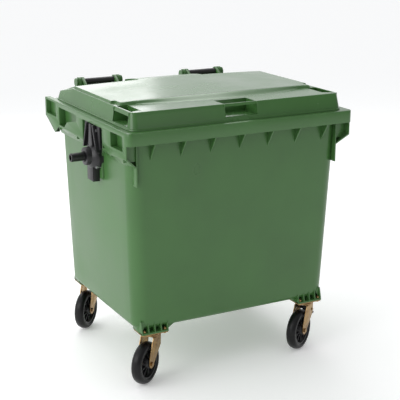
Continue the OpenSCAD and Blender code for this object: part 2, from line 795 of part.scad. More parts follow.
// foot pedal of a braked castor, on a pin through the fork's leading edge
pedal_y = 22;
pedal_z = crown_z1 - 36;
pedal_pin_r = 4;
module brake_pin(c) {
  color([0.75, 0.64, 0.42])
    place(c)
      translate([-leg_in - leg_t - 4, pedal_y, pedal_z])
        rotate([0, 90, 0]) {
          cylinder(r = pedal_pin_r, h = 2 * (leg_in + leg_t) + 8);
          cylinder(r = 6, h = 4 - e);
          translate([0, 0, 2 * (leg_in + leg_t) + 4 + e]) cylinder(r = 6, h = 4 - e);
        }
}
module brake_pedal(c) {
  color([0.12, 0.12, 0.13])
    place(c)
      difference() {
        union() {
          translate([-leg_in + 3, pedal_y, pedal_z]) rotate([0, 90, 0]) cylinder(r = 8, h = 2 * leg_in - 6);
          translate([-12, pedal_y, pedal_z]) rotate([0, 90, 0]) cylinder(r = 14, h = 24);
          yz_plate(-14, 14, [
            [pedal_y - 4, pedal_z + 7], [pedal_y + 2, pedal_z - 8], [pedal_y + 44, pedal_z - 46],
            [pedal_y + 66, pedal_z - 46], [pedal_y + 66, pedal_z - 38], [pedal_y + 47, pedal_z - 38],
            [pedal_y + 8, pedal_z + 2]]);
        }
        translate([-100, pedal_y, pedal_z]) rotate([0, 90, 0]) cylinder(r = pedal_pin_r + run, h = 200);
      }
}

module castor_bolts() {
  color([0.75, 0.64, 0.42])
    for (c = castors)
      set_on(c)
        at_bolts() {
          cylinder_between(head_z - 6, head_z - e, 8.5, $fn = 6);
          cylinder_between(head_z - 1, foot_z + foot_base + 11, bolt_r);
        }
}
module castor_nuts() {
  color([0.75, 0.64, 0.42])
    for (c = castors)
      set_on(c)
        at_bolts()
          translate([0, 0, foot_z + foot_base + e])
            difference() {
              cylinder(r = 9, h = 8, $fn = 6);
              translate([0, 0, -1]) cylinder(r = bolt_r + 0.05, h = 20);
            }
}

corners = ["left_front", "right_front", "left_rear", "right_rear"];
castor_pieces = [
  "plate", "balls", "kingpin", "fork", "axle_bolt", "axle_nut", "sleeve", "bearing", "core", "tyre"];

body_tub();
lid();
hinge_rod_left();
hinge_rod_right();
hinge_rod_caps();
trunnion_bracket_left();
trunnion_bracket_right();
trunnion_pin_left();
trunnion_pin_right();
trunnion_screws();
drain_plug();
drain_seal();
castor_bolts();
castor_nuts();
brake_pedal(castors[1]);  // brake_pedal_right_front
brake_pedal(castors[3]);  // brake_pedal_right_rear
brake_pin(castors[1]);  // brake_pin_right_front
brake_pin(castors[3]);  // brake_pin_right_rear
for (i = [0:3]) {
  castor_plate(castors[i]);
  castor_balls(castors[i]);
  castor_kingpin(castors[i]);
  castor_fork(castors[i]);
  castor_axle_bolt(castors[i]);
  castor_axle_nut(castors[i]);
  castor_sleeve(castors[i]);
  castor_bearing(castors[i]);
  castor_core(castors[i]);
  castor_tyre(castors[i]);
}
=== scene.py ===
from math import sin, cos, tan, pi, radians

import bmesh
import bpy
from mathutils import Matrix, Vector


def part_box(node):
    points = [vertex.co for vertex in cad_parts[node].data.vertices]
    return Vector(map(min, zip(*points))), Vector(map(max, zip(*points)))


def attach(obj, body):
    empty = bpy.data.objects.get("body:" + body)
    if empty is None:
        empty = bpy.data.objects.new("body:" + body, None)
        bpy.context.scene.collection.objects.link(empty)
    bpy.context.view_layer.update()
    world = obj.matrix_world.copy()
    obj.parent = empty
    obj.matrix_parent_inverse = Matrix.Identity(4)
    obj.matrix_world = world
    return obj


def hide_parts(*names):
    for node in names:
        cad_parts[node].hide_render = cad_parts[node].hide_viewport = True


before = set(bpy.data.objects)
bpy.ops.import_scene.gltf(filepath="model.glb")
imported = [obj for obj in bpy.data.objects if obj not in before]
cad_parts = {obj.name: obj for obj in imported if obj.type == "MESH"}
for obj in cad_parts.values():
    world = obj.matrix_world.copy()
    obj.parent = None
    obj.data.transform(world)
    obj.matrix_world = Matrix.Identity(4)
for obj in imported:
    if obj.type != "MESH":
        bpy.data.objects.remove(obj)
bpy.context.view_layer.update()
scene = bpy.context.scene

# ---------------------------------------------------------------- the view
# The camera stands to the left of the container's front and a little above it,
# and looks down at it through a long lens.
AIM = Vector((-0.080, -0.2185, 0.7825))
AIM_DISTANCE = 4.963
AZIMUTH = radians(27.81)
PITCH = radians(15.87)
back = Vector((-sin(AZIMUTH) * cos(PITCH), -cos(AZIMUTH) * cos(PITCH), sin(PITCH)))
camera_data = bpy.data.cameras.new("camera")
camera_data.sensor_width = 36.0
camera_data.lens = 93.3
camera_data.clip_end = 200.0
camera = bpy.data.objects.new("camera", camera_data)
camera_turn = back.to_track_quat("Z", "Y").to_matrix().to_4x4()
camera.matrix_world = Matrix.Translation(AIM + AIM_DISTANCE * back) @ camera_turn
scene.collection.objects.link(camera)
scene.camera = camera

# ---------------------------------------------------------------- the studio
# A white room that is dimmer at the front right, one large soft light high on
# the left, one over the lid, one low behind for its sheen, and a weak one in front.
scene.view_settings.view_transform = "Standard"
DIM_SIDE = (0.55, -0.83, 0.0)
world = bpy.data.worlds.new("pale_room")
scene.world = world
world.use_nodes = True
surround = world.node_tree.nodes["Background"]
surround.inputs["Color"].default_value = (0.98, 0.99, 1.0, 1.0)


def mapped(tree, source, from_range, to_range):
    """A value spread from one range to another."""
    node = tree.nodes.new("ShaderNodeMapRange")
    node.inputs["From Min"].default_value, node.inputs["From Max"].default_value = from_range
    node.inputs["To Min"].default_value, node.inputs["To Max"].default_value = to_range
    tree.links.new(source, node.inputs["Value"])
    return node.outputs["Result"]


direction = world.node_tree.nodes.new("ShaderNodeTexCoord")
towards = world.node_tree.nodes.new("ShaderNodeVectorMath")
towards.operation = "DOT_PRODUCT"
towards.inputs[1].default_value = DIM_SIDE
world.node_tree.links.new(direction.outputs["Generated"], towards.inputs[0])
fade = mapped(world.node_tree, towards.outputs["Value"], (-0.35, 0.85), (1.05, 0.30))
world.node_tree.links.new(fade, surround.inputs["Strength"])


def soft_light(name, place, target, size, power):
    data = bpy.data.lights.new(name, "AREA")
    data.shape = "RECTANGLE"
    data.size, data.size_y = size
    data.energy = power
    light = bpy.data.objects.new(name, data)
    place = Vector(place)
    turn = (place - Vector(target)).to_track_quat("Z", "Y").to_matrix().to_4x4()
    light.matrix_world = Matrix.Translation(place) @ turn
    scene.collection.objects.link(light)


soft_light("left_window", (-4.2, -0.6, 2.6), (0.0, 0.0, 0.8), (3.0, 2.4), 62.0)
soft_light("overhead", (0.5, 2.8, 4.2), (0.0, 0.2, 1.2), (3.5, 2.5), 60.0)
soft_light("rear_sheen", (1.1, 5.6, 2.45), (-0.3, 0.0, 1.29), (2.4, 1.5), 22.0)
soft_light("front_fill", (1.2, -5.0, 2.4), (0.0, 0.0, 0.7), (2.5, 2.0), 8.0)

floor_mesh = bpy.data.meshes.new("floor")
FLOOR = 40.0
floor_mesh.from_pydata([(-FLOOR, -FLOOR, 0), (FLOOR, -FLOOR, 0), (FLOOR, FLOOR, 0), (-FLOOR, FLOOR, 0)], [],
                       [(0, 1, 2, 3)])
floor = bpy.data.objects.new("floor", floor_mesh)
scene.collection.objects.link(floor)
paper = bpy.data.materials.new("white_floor")
paper.use_nodes = True
paper_inputs = paper.node_tree.nodes["Principled BSDF"].inputs
paper_inputs["Base Color"].default_value = (0.95, 0.95, 0.95, 1.0)
paper_inputs["Roughness"].default_value = 0.85
# the floor also gives off a little light of its own, which keeps it white
paper_inputs["Emission Color"].default_value = (1.0, 1.0, 1.0, 1.0)
paper_inputs["Emission Strength"].default_value = 0.2
floor_mesh.materials.append(paper)

# ---------------------------------------------------------------- the tub
# The open box that holds the waste: one injection moulding in green HDPE, with
# tapered walls that bow out a little, round corners and a rounded lower edge.
tub_low, tub_high = (Vector(c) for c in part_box("body_tub"))
rim_x = tub_high.x
rim_yf, rim_yr = tub_low.y, tub_high.y
RIM_TOP = 1.210
FOOT_Z = tub_low.z
WALL = 0.005
SIDE_INSET, SIDE_DRAFT = 0.031, 0.036
FRONT_INSET, FRONT_DRAFT = 0.058, 0.037
REAR_INSET = 0.110
TUB_CORNER = 0.066
EDGE_IN, EDGE_UP = 0.026, 0.030
WALL_BOW = 0.009
tub_x = rim_x - SIDE_INSET
tub_yf = rim_yf + FRONT_INSET
tub_yr = rim_yr - REAR_INSET
floor_z = FOOT_Z + 0.019

HDPE_GREEN = (0.048, 0.140, 0.034)


def noise(tree, place, scale, detail):
    """A noise pattern fixed to the piece."""
    pattern = tree.nodes.new("ShaderNodeTexNoise")
    pattern.inputs["Scale"].default_value = scale
    pattern.inputs["Detail"].default_value = detail
    tree.links.new(place.outputs["Object"], pattern.inputs["Vector"])
    return pattern.outputs["Fac"]


def textured(tree, shader, height, strength, distance):
    """Bumps a shader's surface by a pattern."""
    bump = tree.nodes.new("ShaderNodeBump")
    bump.inputs["Strength"].default_value = strength
    bump.inputs["Distance"].default_value = distance
    tree.links.new(height, bump.inputs["Height"])
    tree.links.new(bump.outputs["Normal"], shader.inputs["Normal"])


def moulded(name, colour, rough, grain, wear=0.22):
    """Moulded plastic: slight clouds of colour, a fine grain, and edges rubbed paler."""
    material = bpy.data.materials.new(name)
    material.use_nodes = True
    tree = material.node_tree
    nodes, link = tree.nodes, tree.links.new
    shader = nodes["Principled BSDF"]
    place = nodes.new("ShaderNodeTexCoord")
    cloud = noise(tree, place, 3.5, 5.0)
    tint = nodes.new("ShaderNodeValToRGB")
    tint.color_ramp.elements[0].position = 0.3
    tint.color_ramp.elements[0].color = (*[c * 0.9 for c in colour], 1.0)
    tint.color_ramp.elements[1].position = 0.7
    tint.color_ramp.elements[1].color = (*[c * 1.1 for c in colour], 1.0)
    link(cloud, tint.inputs["Fac"])
    edges = nodes.new("ShaderNodeNewGeometry")
    worn = nodes.new("ShaderNodeValToRGB")
    worn.color_ramp.elements[0].position = 0.53
    worn.color_ramp.elements[0].color = (0.0, 0.0, 0.0, 1.0)
    worn.color_ramp.elements[1].position = 0.62
    worn.color_ramp.elements[1].color = (wear, wear, wear, 1.0)
    link(edges.outputs["Pointiness"], worn.inputs["Fac"])
    mix = nodes.new("ShaderNodeMix")
    mix.data_type = "RGBA"
    mix.inputs["B"].default_value = (*[0.8 * c + 0.05 for c in colour], 1.0)
    link(worn.outputs["Color"], mix.inputs["Factor"])
    link(tint.outputs["Color"], mix.inputs["A"])
    link(mix.outputs["Result"], shader.inputs["Base Color"])
    textured(tree, shader, noise(tree, place, 420.0, 3.0), grain, 0.0006)
    link(mapped(tree, cloud, (0.3, 0.7), (rough - 0.05, rough + 0.07)), shader.inputs["Roughness"])
    shader.inputs["Specular IOR Level"].default_value = 0.5
    return material


tub_plastic = moulded("tub_green_plastic", HDPE_GREEN, 0.32, 0.06)


def height_share(z):
    return (z - floor_z) / (RIM_TOP - floor_z)


def half_width(z):
    return tub_x - SIDE_DRAFT * (1 - height_share(z))


def front_wall(z):
    return tub_yf + FRONT_DRAFT * (1 - height_share(z))


def rounded_outline(half, y0, y1, r, turn=8, along=12, out=0.0):
    """Points round a rectangle with round corners, whose sides may bow out."""
    centres = [(half - r, y1 - r), (r - half, y1 - r), (r - half, y0 + r), (half - r, y0 + r)]
    points = []
    for k, (cx, cy) in enumerate(centres):
        for i in range(turn + 1):
            a = radians(90 * (k + i / turn))
            points.append((cx + r * cos(a), cy + r * sin(a)))
        nx, ny = centres[(k + 1) % 4]
        end = (nx + r * cos(a), ny + r * sin(a))
        start = points[-1]
        for j in range(1, along):
            t = j / along
            points.append((start[0] + (end[0] - start[0]) * t, start[1] + (end[1] - start[1]) * t))
    middle, reach = (y0 + y1) / 2, (y1 - y0) / 2
    bowed = []
    for x, y in points:
        u, v = x / half, (y - middle) / reach
        bowed.append((x + out * u * (1 - v * v), y + out * v * (1 - u * u)))
    return bowed


def tub_ring(z, inset):
    share = max(0.0, height_share(z))
    out = WALL_BOW * sin(pi * min(1.0, share * 0.92 + 0.08)) + 0.001
    ring = rounded_outline(half_width(z) - inset, front_wall(z) + inset, tub_yr - inset,
                           max(TUB_CORNER - inset, 0.012), out=out)
    return [(x, y, z) for x, y in ring]


def new_piece(name, mesh, body, material, sharp=32):
    """A finished mesh as a piece that moves with a body."""
    mesh.polygons.foreach_set("use_smooth", [True] * len(mesh.polygons))
    mesh.set_sharp_from_angle(angle=radians(sharp))
    mesh.materials.clear()
    mesh.materials.append(material)
    piece = bpy.data.objects.new(name, mesh)
    scene.collection.objects.link(piece)
    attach(piece, body)
    return piece


def loft(name, rings, closed=False):
    """Skins closed rings of equal length; the last ring joins the first, or both ends are capped."""
    n = len(rings[0])
    points = [p for ring in rings for p in ring]
    faces = []
    spans = len(rings) if closed else len(rings) - 1
    for k in range(spans):
        a, b = k * n, ((k + 1) % len(rings)) * n
        faces += [(a + i, a + (i + 1) % n, b + (i + 1) % n, b + i) for i in range(n)]
    if not closed:
        faces += [tuple(range(n - 1, -1, -1)), tuple((len(rings) - 1) * n + i for i in range(n))]
    mesh = bpy.data.meshes.new(name)
    mesh.from_pydata(points, [], faces)
    shape = bmesh.new()
    shape.from_mesh(mesh)
    bmesh.ops.recalc_face_normals(shape, faces=shape.faces)
    shape.to_mesh(mesh)
    shape.free()
    return mesh


rings = []
for i in range(7):
    a = radians(15 * i)
    rings.append(tub_ring(floor_z + EDGE_UP * (1 - cos(a)), EDGE_IN * (1 - sin(a))))
LEVELS = 14
for i in range(1, LEVELS + 1):
    z = floor_z + EDGE_UP + (RIM_TOP - 0.002 - floor_z - EDGE_UP) * i / LEVELS
    rings.append(tub_ring(z, 0.0))
rings.append(tub_ring(RIM_TOP, 0.002))
rings.append(tub_ring(RIM_TOP, WALL - 0.002))
for i in range(LEVELS, 0, -1):
    z = floor_z + EDGE_UP + (RIM_TOP - 0.002 - floor_z - EDGE_UP) * i / LEVELS
    rings.append(tub_ring(z, WALL))
for i in range(6, -1, -1):
    a = radians(15 * i)
    rings.append(tub_ring(floor_z + WALL + (EDGE_UP - WALL) * (1 - cos(a)), WALL + EDGE_IN * (1 - sin(a))))
tub = new_piece("tub_walls", loft("tub_walls", rings), "tub", tub_plastic)
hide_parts("body_tub")

# ---------------------------------------------------------------- the rim
# The stiff frame round the tub's mouth, moulded in one with it: a top plate, a
# band across the front and deeper side plates with rectangular pockets.
BAND = 0.058
SIDE_DROP = 0.117
RIM_CORNER = 0.026
SKIN = 0.005
PLATE = 0.006
REAR_SETBACK = 0.062
band_z = RIM_TOP - BAND
sill_z = RIM_TOP - SIDE_DROP
band_y = rim_yr - REAR_SETBACK


def arc(cx, cy, r, start, stop, steps=8):
    return [(cx + r * cos(radians(start + (stop - start) * i / steps)),
             cy + r * sin(radians(start + (stop - start) * i / steps))) for i in range(steps + 1)]


def soft_corners(points, r, steps=4):
    """The same polygon with its corners rounded; r is one radius, or one for each corner."""
    radii = r if isinstance(r, (list, tuple)) else [r] * len(points)
    out = []
    n = len(points)
    for i, radius in enumerate(radii):
        p, a, b = (Vector(points[k % n]) for k in (i, i - 1, i + 1))
        u, v = (a - p), (b - p)
        reach = min(u.length, v.length) * 0.49
        corner = u.angle(v, pi)
        if radius <= 0 or corner > pi - 0.02:
            out.append(tuple(p))
            continue
        cut = min(radius / tan(corner / 2), reach)
        start, end = p + u.normalized() * cut, p + v.normalized() * cut
        for k in range(steps + 1):
            t = k / steps
            out.append(tuple((1 - t) ** 2 * start + 2 * t * (1 - t) * p + t * t * end))
    return out


PLANES = {
    "xy": Matrix(((1, 0, 0), (0, 1, 0), (0, 0, 1))),
    "yz": Matrix(((0, 0, 1), (1, 0, 0), (0, 1, 0))),
    "xz": Matrix(((1, 0, 0), (0, 0, -1), (0, 1, 0))),
}


def plate_mesh(name, plane, start, thick, loops, edge=0.001):
    """A flat moulded plate: outlines in a plane, filled between, with rounded edges.
    start is the plate's first face along the plane's normal; xz plates grow towards -Y."""
    curve = bpy.data.curves.new(name, "CURVE")
    curve.dimensions = "2D"
    curve.fill_mode = "BOTH"
    for points in loops:
        spline = curve.splines.new("POLY")
        spline.points.add(len(points) - 1)
        for dot, (u, v) in zip(spline.points, points):
            dot.co = (u, v, 0, 1)
        spline.use_cyclic_u = True
    curve.extrude = thick / 2 - edge
    curve.bevel_depth = edge
    curve.bevel_resolution = 1
    curve.offset = -edge
    holder = bpy.data.objects.new(name, curve)
    scene.collection.objects.link(holder)
    bpy.context.view_layer.update()
    mesh = bpy.data.meshes.new_from_object(holder.evaluated_get(bpy.context.evaluated_depsgraph_get()))
    bpy.data.objects.remove(holder)
    bpy.data.curves.remove(curve)
    shape = bmesh.new()
    shape.from_mesh(mesh)
    bmesh.ops.remove_doubles(shape, verts=shape.verts, dist=1e-6)
    bmesh.ops.translate(shape, verts=shape.verts, vec=(0, 0, thick / 2))
    bmesh.ops.transform(shape, verts=shape.verts, matrix=PLANES[plane].to_4x4())
    normal = PLANES[plane] @ Vector((0, 0, 1))
    bmesh.ops.translate(shape, verts=shape.verts, vec=normal * start)
    bmesh.ops.recalc_face_normals(shape, faces=shape.faces)
    shape.to_mesh(mesh)
    shape.free()
    mesh.name = name
    return mesh


def joined(name, meshes):
    """One mesh from several."""
    shape = bmesh.new()
    for mesh in meshes:
        shape.from_mesh(mesh)
        bpy.data.meshes.remove(mesh)
    out = bpy.data.meshes.new(name)
    shape.to_mesh(out)
    shape.free()
    return out


def mirrored(mesh):
    """A copy of the mesh on the other side of the container."""
    shape = bmesh.new()
    shape.from_mesh(mesh)
    bmesh.ops.scale(shape, verts=shape.verts, vec=(-1, 1, 1))
    bmesh.ops.reverse_faces(shape, faces=shape.faces)
    out = bpy.data.meshes.new(mesh.name)
    shape.to_mesh(out)
    shape.free()
    return out


arm_in = tub_x + 0.003
rim_outer = ([(-arm_in, band_y), (-arm_in, rim_yr)]
             + arc(-rim_x + 0.013, rim_yr - 0.013, 0.013, 90, 180)
             + arc(-rim_x + RIM_CORNER, rim_yf + RIM_CORNER, RIM_CORNER, 180, 270)
             + arc(rim_x - RIM_CORNER, rim_yf + RIM_CORNER, RIM_CORNER, 270, 360)
             + arc(rim_x - 0.013, rim_yr - 0.013, 0.013, 0, 90)
             + [(arm_in, rim_yr), (arm_in, band_y)])
mouth = [(x, y) for x, y, z in tub_ring(RIM_TOP, WALL / 2)]
rim_parts = [plate_mesh("rim_top", "xy", RIM_TOP - PLATE, PLATE, [rim_outer, mouth], 0.0025)]

inner = RIM_CORNER - SKIN
front_band = (arc(-rim_x + RIM_CORNER, rim_yf + RIM_CORNER, RIM_CORNER, 180, 270, 12)
              + arc(rim_x - RIM_CORNER, rim_yf + RIM_CORNER, RIM_CORNER, 270, 360, 12)
              + arc(rim_x - RIM_CORNER, rim_yf + RIM_CORNER, inner, 360, 270, 12)
              + arc(-rim_x + RIM_CORNER, rim_yf + RIM_CORNER, inner, 270, 180, 12))
rim_parts.append(plate_mesh("front_band", "xy", band_z, BAND - 0.002, [front_band], 0.0015))
rim_parts.append(plate_mesh("rear_band", "xz", -band_y, SKIN, [soft_corners([
    (-arm_in - 0.001, band_z), (arm_in + 0.001, band_z), (arm_in + 0.001, RIM_TOP - 0.001),
    (-arm_in - 0.001, RIM_TOP - 0.001)], 0.001)]))

# pockets in the side plates: where each starts and ends behind the rim's front face, and its floor
WEB = 0.006
FRONT_POCKET, MIDDLE_POCKET, REAR_POCKET = (0.060, 0.190), (0.602, 0.831), (0.875, 1.008)
FRONT_FLOOR, MIDDLE_FLOOR, REAR_FLOOR = sill_z + 0.028, sill_z + 0.006, sill_z + 0.038
TRUNNION_Y = 0.416
recess = (rim_yf + TRUNNION_Y - 0.128, rim_yf + TRUNNION_Y + 0.104)
arm_y = tub_yr - 0.018
arm_low = RIM_TOP - 0.097
slope_z = sill_z - 0.043
strip_z = RIM_TOP - 0.023
side_outer = soft_corners([
    (rim_yf + RIM_CORNER - 0.004, RIM_TOP - 0.002), (rim_yf + RIM_CORNER - 0.004, sill_z - 0.002),
    (recess[0] - 0.07, sill_z - 0.014), (recess[0], sill_z + 0.02), (recess[0], RIM_TOP - 0.027),
    (recess[1], RIM_TOP - 0.027), (recess[1], sill_z), (arm_y - 0.06, sill_z), (arm_y, slope_z),
    (rim_yr - 0.013, arm_low), (rim_yr - 0.013, RIM_TOP - 0.002)],
    [0.002, 0.004, 0.04, 0.05, 0.004, 0.004, 0.006, 0.01, 0.004, 0.004, 0.002])
pocket_front = soft_corners([
    (rim_yf + FRONT_POCKET[0], FRONT_FLOOR), (rim_yf + FRONT_POCKET[1], FRONT_FLOOR),
    (rim_yf + FRONT_POCKET[1], strip_z), (rim_yf + FRONT_POCKET[0], strip_z)], 0.005)
pocket_middle = soft_corners([
    (rim_yf + MIDDLE_POCKET[0], sill_z + 0.065), (rim_yf + 0.728, sill_z + 0.037),
    (rim_yf + 0.765, MIDDLE_FLOOR), (rim_yf + MIDDLE_POCKET[1], MIDDLE_FLOOR),
    (rim_yf + MIDDLE_POCKET[1], strip_z),
    (rim_yf + MIDDLE_POCKET[0], strip_z)], [0.004, 0.02, 0.02, 0.005, 0.005, 0.005])
pocket_rear = soft_corners([
    (rim_yf + REAR_POCKET[0], REAR_FLOOR), (rim_yf + REAR_POCKET[1], REAR_FLOOR),
    (rim_yf + REAR_POCKET[1], RIM_TOP - 0.010), (rim_yf + REAR_POCKET[0], RIM_TOP - 0.010)], 0.005)
side = [plate_mesh("side_plate", "yz", rim_x - SKIN, SKIN,
                   [side_outer, pocket_front, pocket_middle, pocket_rear], 0.0012)]


def box_plate(name, low, high, edge=0.001):
    """An upright moulded web between two corners, with softened edges."""
    (x0, y0, z0), (x1, y1, z1) = low, high
    if x1 - x0 < y1 - y0:
        return plate_mesh(name, "yz", x0, x1 - x0, [[(y0, z0), (y1, z0), (y1, z1), (y0, z1)]], edge)
    return plate_mesh(name, "xz", -y1, y1 - y0, [[(x0, z0), (x1, z0), (x1, z1), (x0, z1)]], edge)


wall_x = half_width(sill_z) - WALL / 2
web_face = rim_x - 0.001
for y0, y1 in (FRONT_POCKET, MIDDLE_POCKET, REAR_POCKET):
    low_end = sill_z + (0.012 if y0 == REAR_POCKET[0] else -0.02)
    for y in (y0, y1 + WEB):
        # the frontmost web reaches further in, to the fin at the corner
        inner_x = rim_x - 0.062 if y == FRONT_POCKET[0] else wall_x
        side.append(box_plate("pocket_web", (inner_x, rim_yf + y - WEB, low_end),
                              (web_face, rim_yf + y, RIM_TOP - PLATE + 0.001)))
for y in (recess[0], recess[1] + SKIN):
    side.append(box_plate("recess_web", (wall_x, y - SKIN, sill_z - 0.02), (web_face, y, RIM_TOP - PLATE)))
# pocket floors and sills
SILL_T, SILL_LAP = 0.004, 0.003
for (y0, y1), z in ((FRONT_POCKET, FRONT_FLOOR), (MIDDLE_POCKET, MIDDLE_FLOOR), (REAR_POCKET, REAR_FLOOR)):
    side.append(plate_mesh("pocket_sill", "xy", z - SILL_T, SILL_T, [[
        (wall_x, rim_yf + y0 - SILL_LAP), (web_face, rim_yf + y0 - SILL_LAP),
        (web_face, rim_yf + y1 + SILL_LAP), (wall_x, rim_yf + y1 + SILL_LAP)]]))
# below the sill the plate slopes back to the wall
slope = [(rim_x, sill_z + 0.004), (rim_x - 0.0005, sill_z - 0.003), (rim_x - 0.004, sill_z - 0.010),
         (half_width(slope_z) + 0.009, slope_z + 0.010), (half_width(slope_z) + 0.003, slope_z - 0.006),
         (half_width(slope_z) - WALL, slope_z - 0.006), (rim_x - 0.009, sill_z - 0.008),
         (rim_x - 0.0045, sill_z)]
SLOPE_START = rim_yf + 0.134
for y0, y1 in ((SLOPE_START, recess[0]), (recess[1], arm_y - 0.002)):
    side.append(plate_mesh("sill_slope", "xz", -y1, y1 - y0, [soft_corners(slope, 0.004)], 0.001))
# the hollow arms behind the tub
side.append(plate_mesh("arm_inner", "yz", arm_in, SKIN, [soft_corners([
    (arm_y, slope_z), (rim_yr - 0.013, arm_low), (rim_yr - 0.013, RIM_TOP - 0.001), (arm_y, RIM_TOP - 0.001)],
    0.002)]))
side.append(box_plate("arm_end", (arm_in, rim_yr - 0.018, arm_low), (rim_x, rim_yr, RIM_TOP - 0.001), 0.002))
lower_edge = [(arm_y, slope_z), (rim_yr - 0.013, arm_low), (rim_yr - 0.013, arm_low + SKIN),
              (arm_y, slope_z + SKIN)]
side.append(plate_mesh("arm_under", "yz", arm_in, rim_x - arm_in, [lower_edge], 0.001))
# at the front corner the slope twists in to an upright fin that stands on the tub's corner
FIN_X, FIN_Y = rim_x - 0.058, rim_yf + 0.046
fin_low = sill_z - 0.135
side.append(plate_mesh("corner_fin", "yz", FIN_X - 0.006, 0.006, [soft_corners([
    (FIN_Y, fin_low), (front_wall(fin_low) + 0.021, fin_low), (tub_yf + 0.014, RIM_TOP - PLATE),
    (FIN_Y, RIM_TOP - PLATE)], [0.004, 0, 0, 0])], 0.0012))
outer_edge = (Vector((rim_x, rim_yf + 0.020, sill_z - 0.002)),
              Vector((rim_x, SLOPE_START + 0.002, sill_z - 0.002)))
inner_edge = (Vector((FIN_X, FIN_Y + 0.001, slope_z - 0.007)),
              Vector((half_width(slope_z) + 0.003, SLOPE_START + 0.002, slope_z - 0.004)))
twist = []
for i in range(9):
    t = i / 8
    outside, inside = outer_edge[0].lerp(outer_edge[1], t), inner_edge[0].lerp(inner_edge[1], t)
    inwards = Vector((-0.003, 0.0, 0.004))
    twist.append([outside, inside, inside + inwards, outside + Vector((-SKIN, 0.0, SKIN))])
side.append(loft("corner_slope", twist))
right_side = joined("rim_side_right", side)
rim_parts.append(mirrored(right_side))
rim_parts.append(right_side)
rim = new_piece("rim_frame", joined("rim_frame", rim_parts), "tub", tub_plastic)
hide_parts("body_tub")

# ---------------------------------------------------------------- the comb
# Triangular ribs under the front band, moulded with the rim. A truck's lifting
# comb goes up between them.
COMB_COUNT, COMB_PITCH, RIB = 7, 0.149, 0.006
comb = []
toe_z = band_z - 0.082
comb_outline = soft_corners([
    (rim_yf + 0.003, band_z + 0.010), (rim_yf + 0.010, band_z - 0.002), (front_wall(toe_z) - 0.002, toe_z),
    (front_wall(toe_z) + 0.003, toe_z), (tub_yf + 0.003, RIM_TOP - PLATE), (rim_yf + 0.003, RIM_TOP - PLATE)],
    [0, 0.004, 0.003, 0, 0, 0])
for i in range(COMB_COUNT):
    x = (i - (COMB_COUNT - 1) / 2) * COMB_PITCH
    comb.append(plate_mesh("rib", "yz", x - RIB / 2, RIB, [comb_outline], 0.0012))
comb = new_piece("comb_ribs", joined("comb_ribs", comb), "tub", tub_plastic)
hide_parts("body_tub")

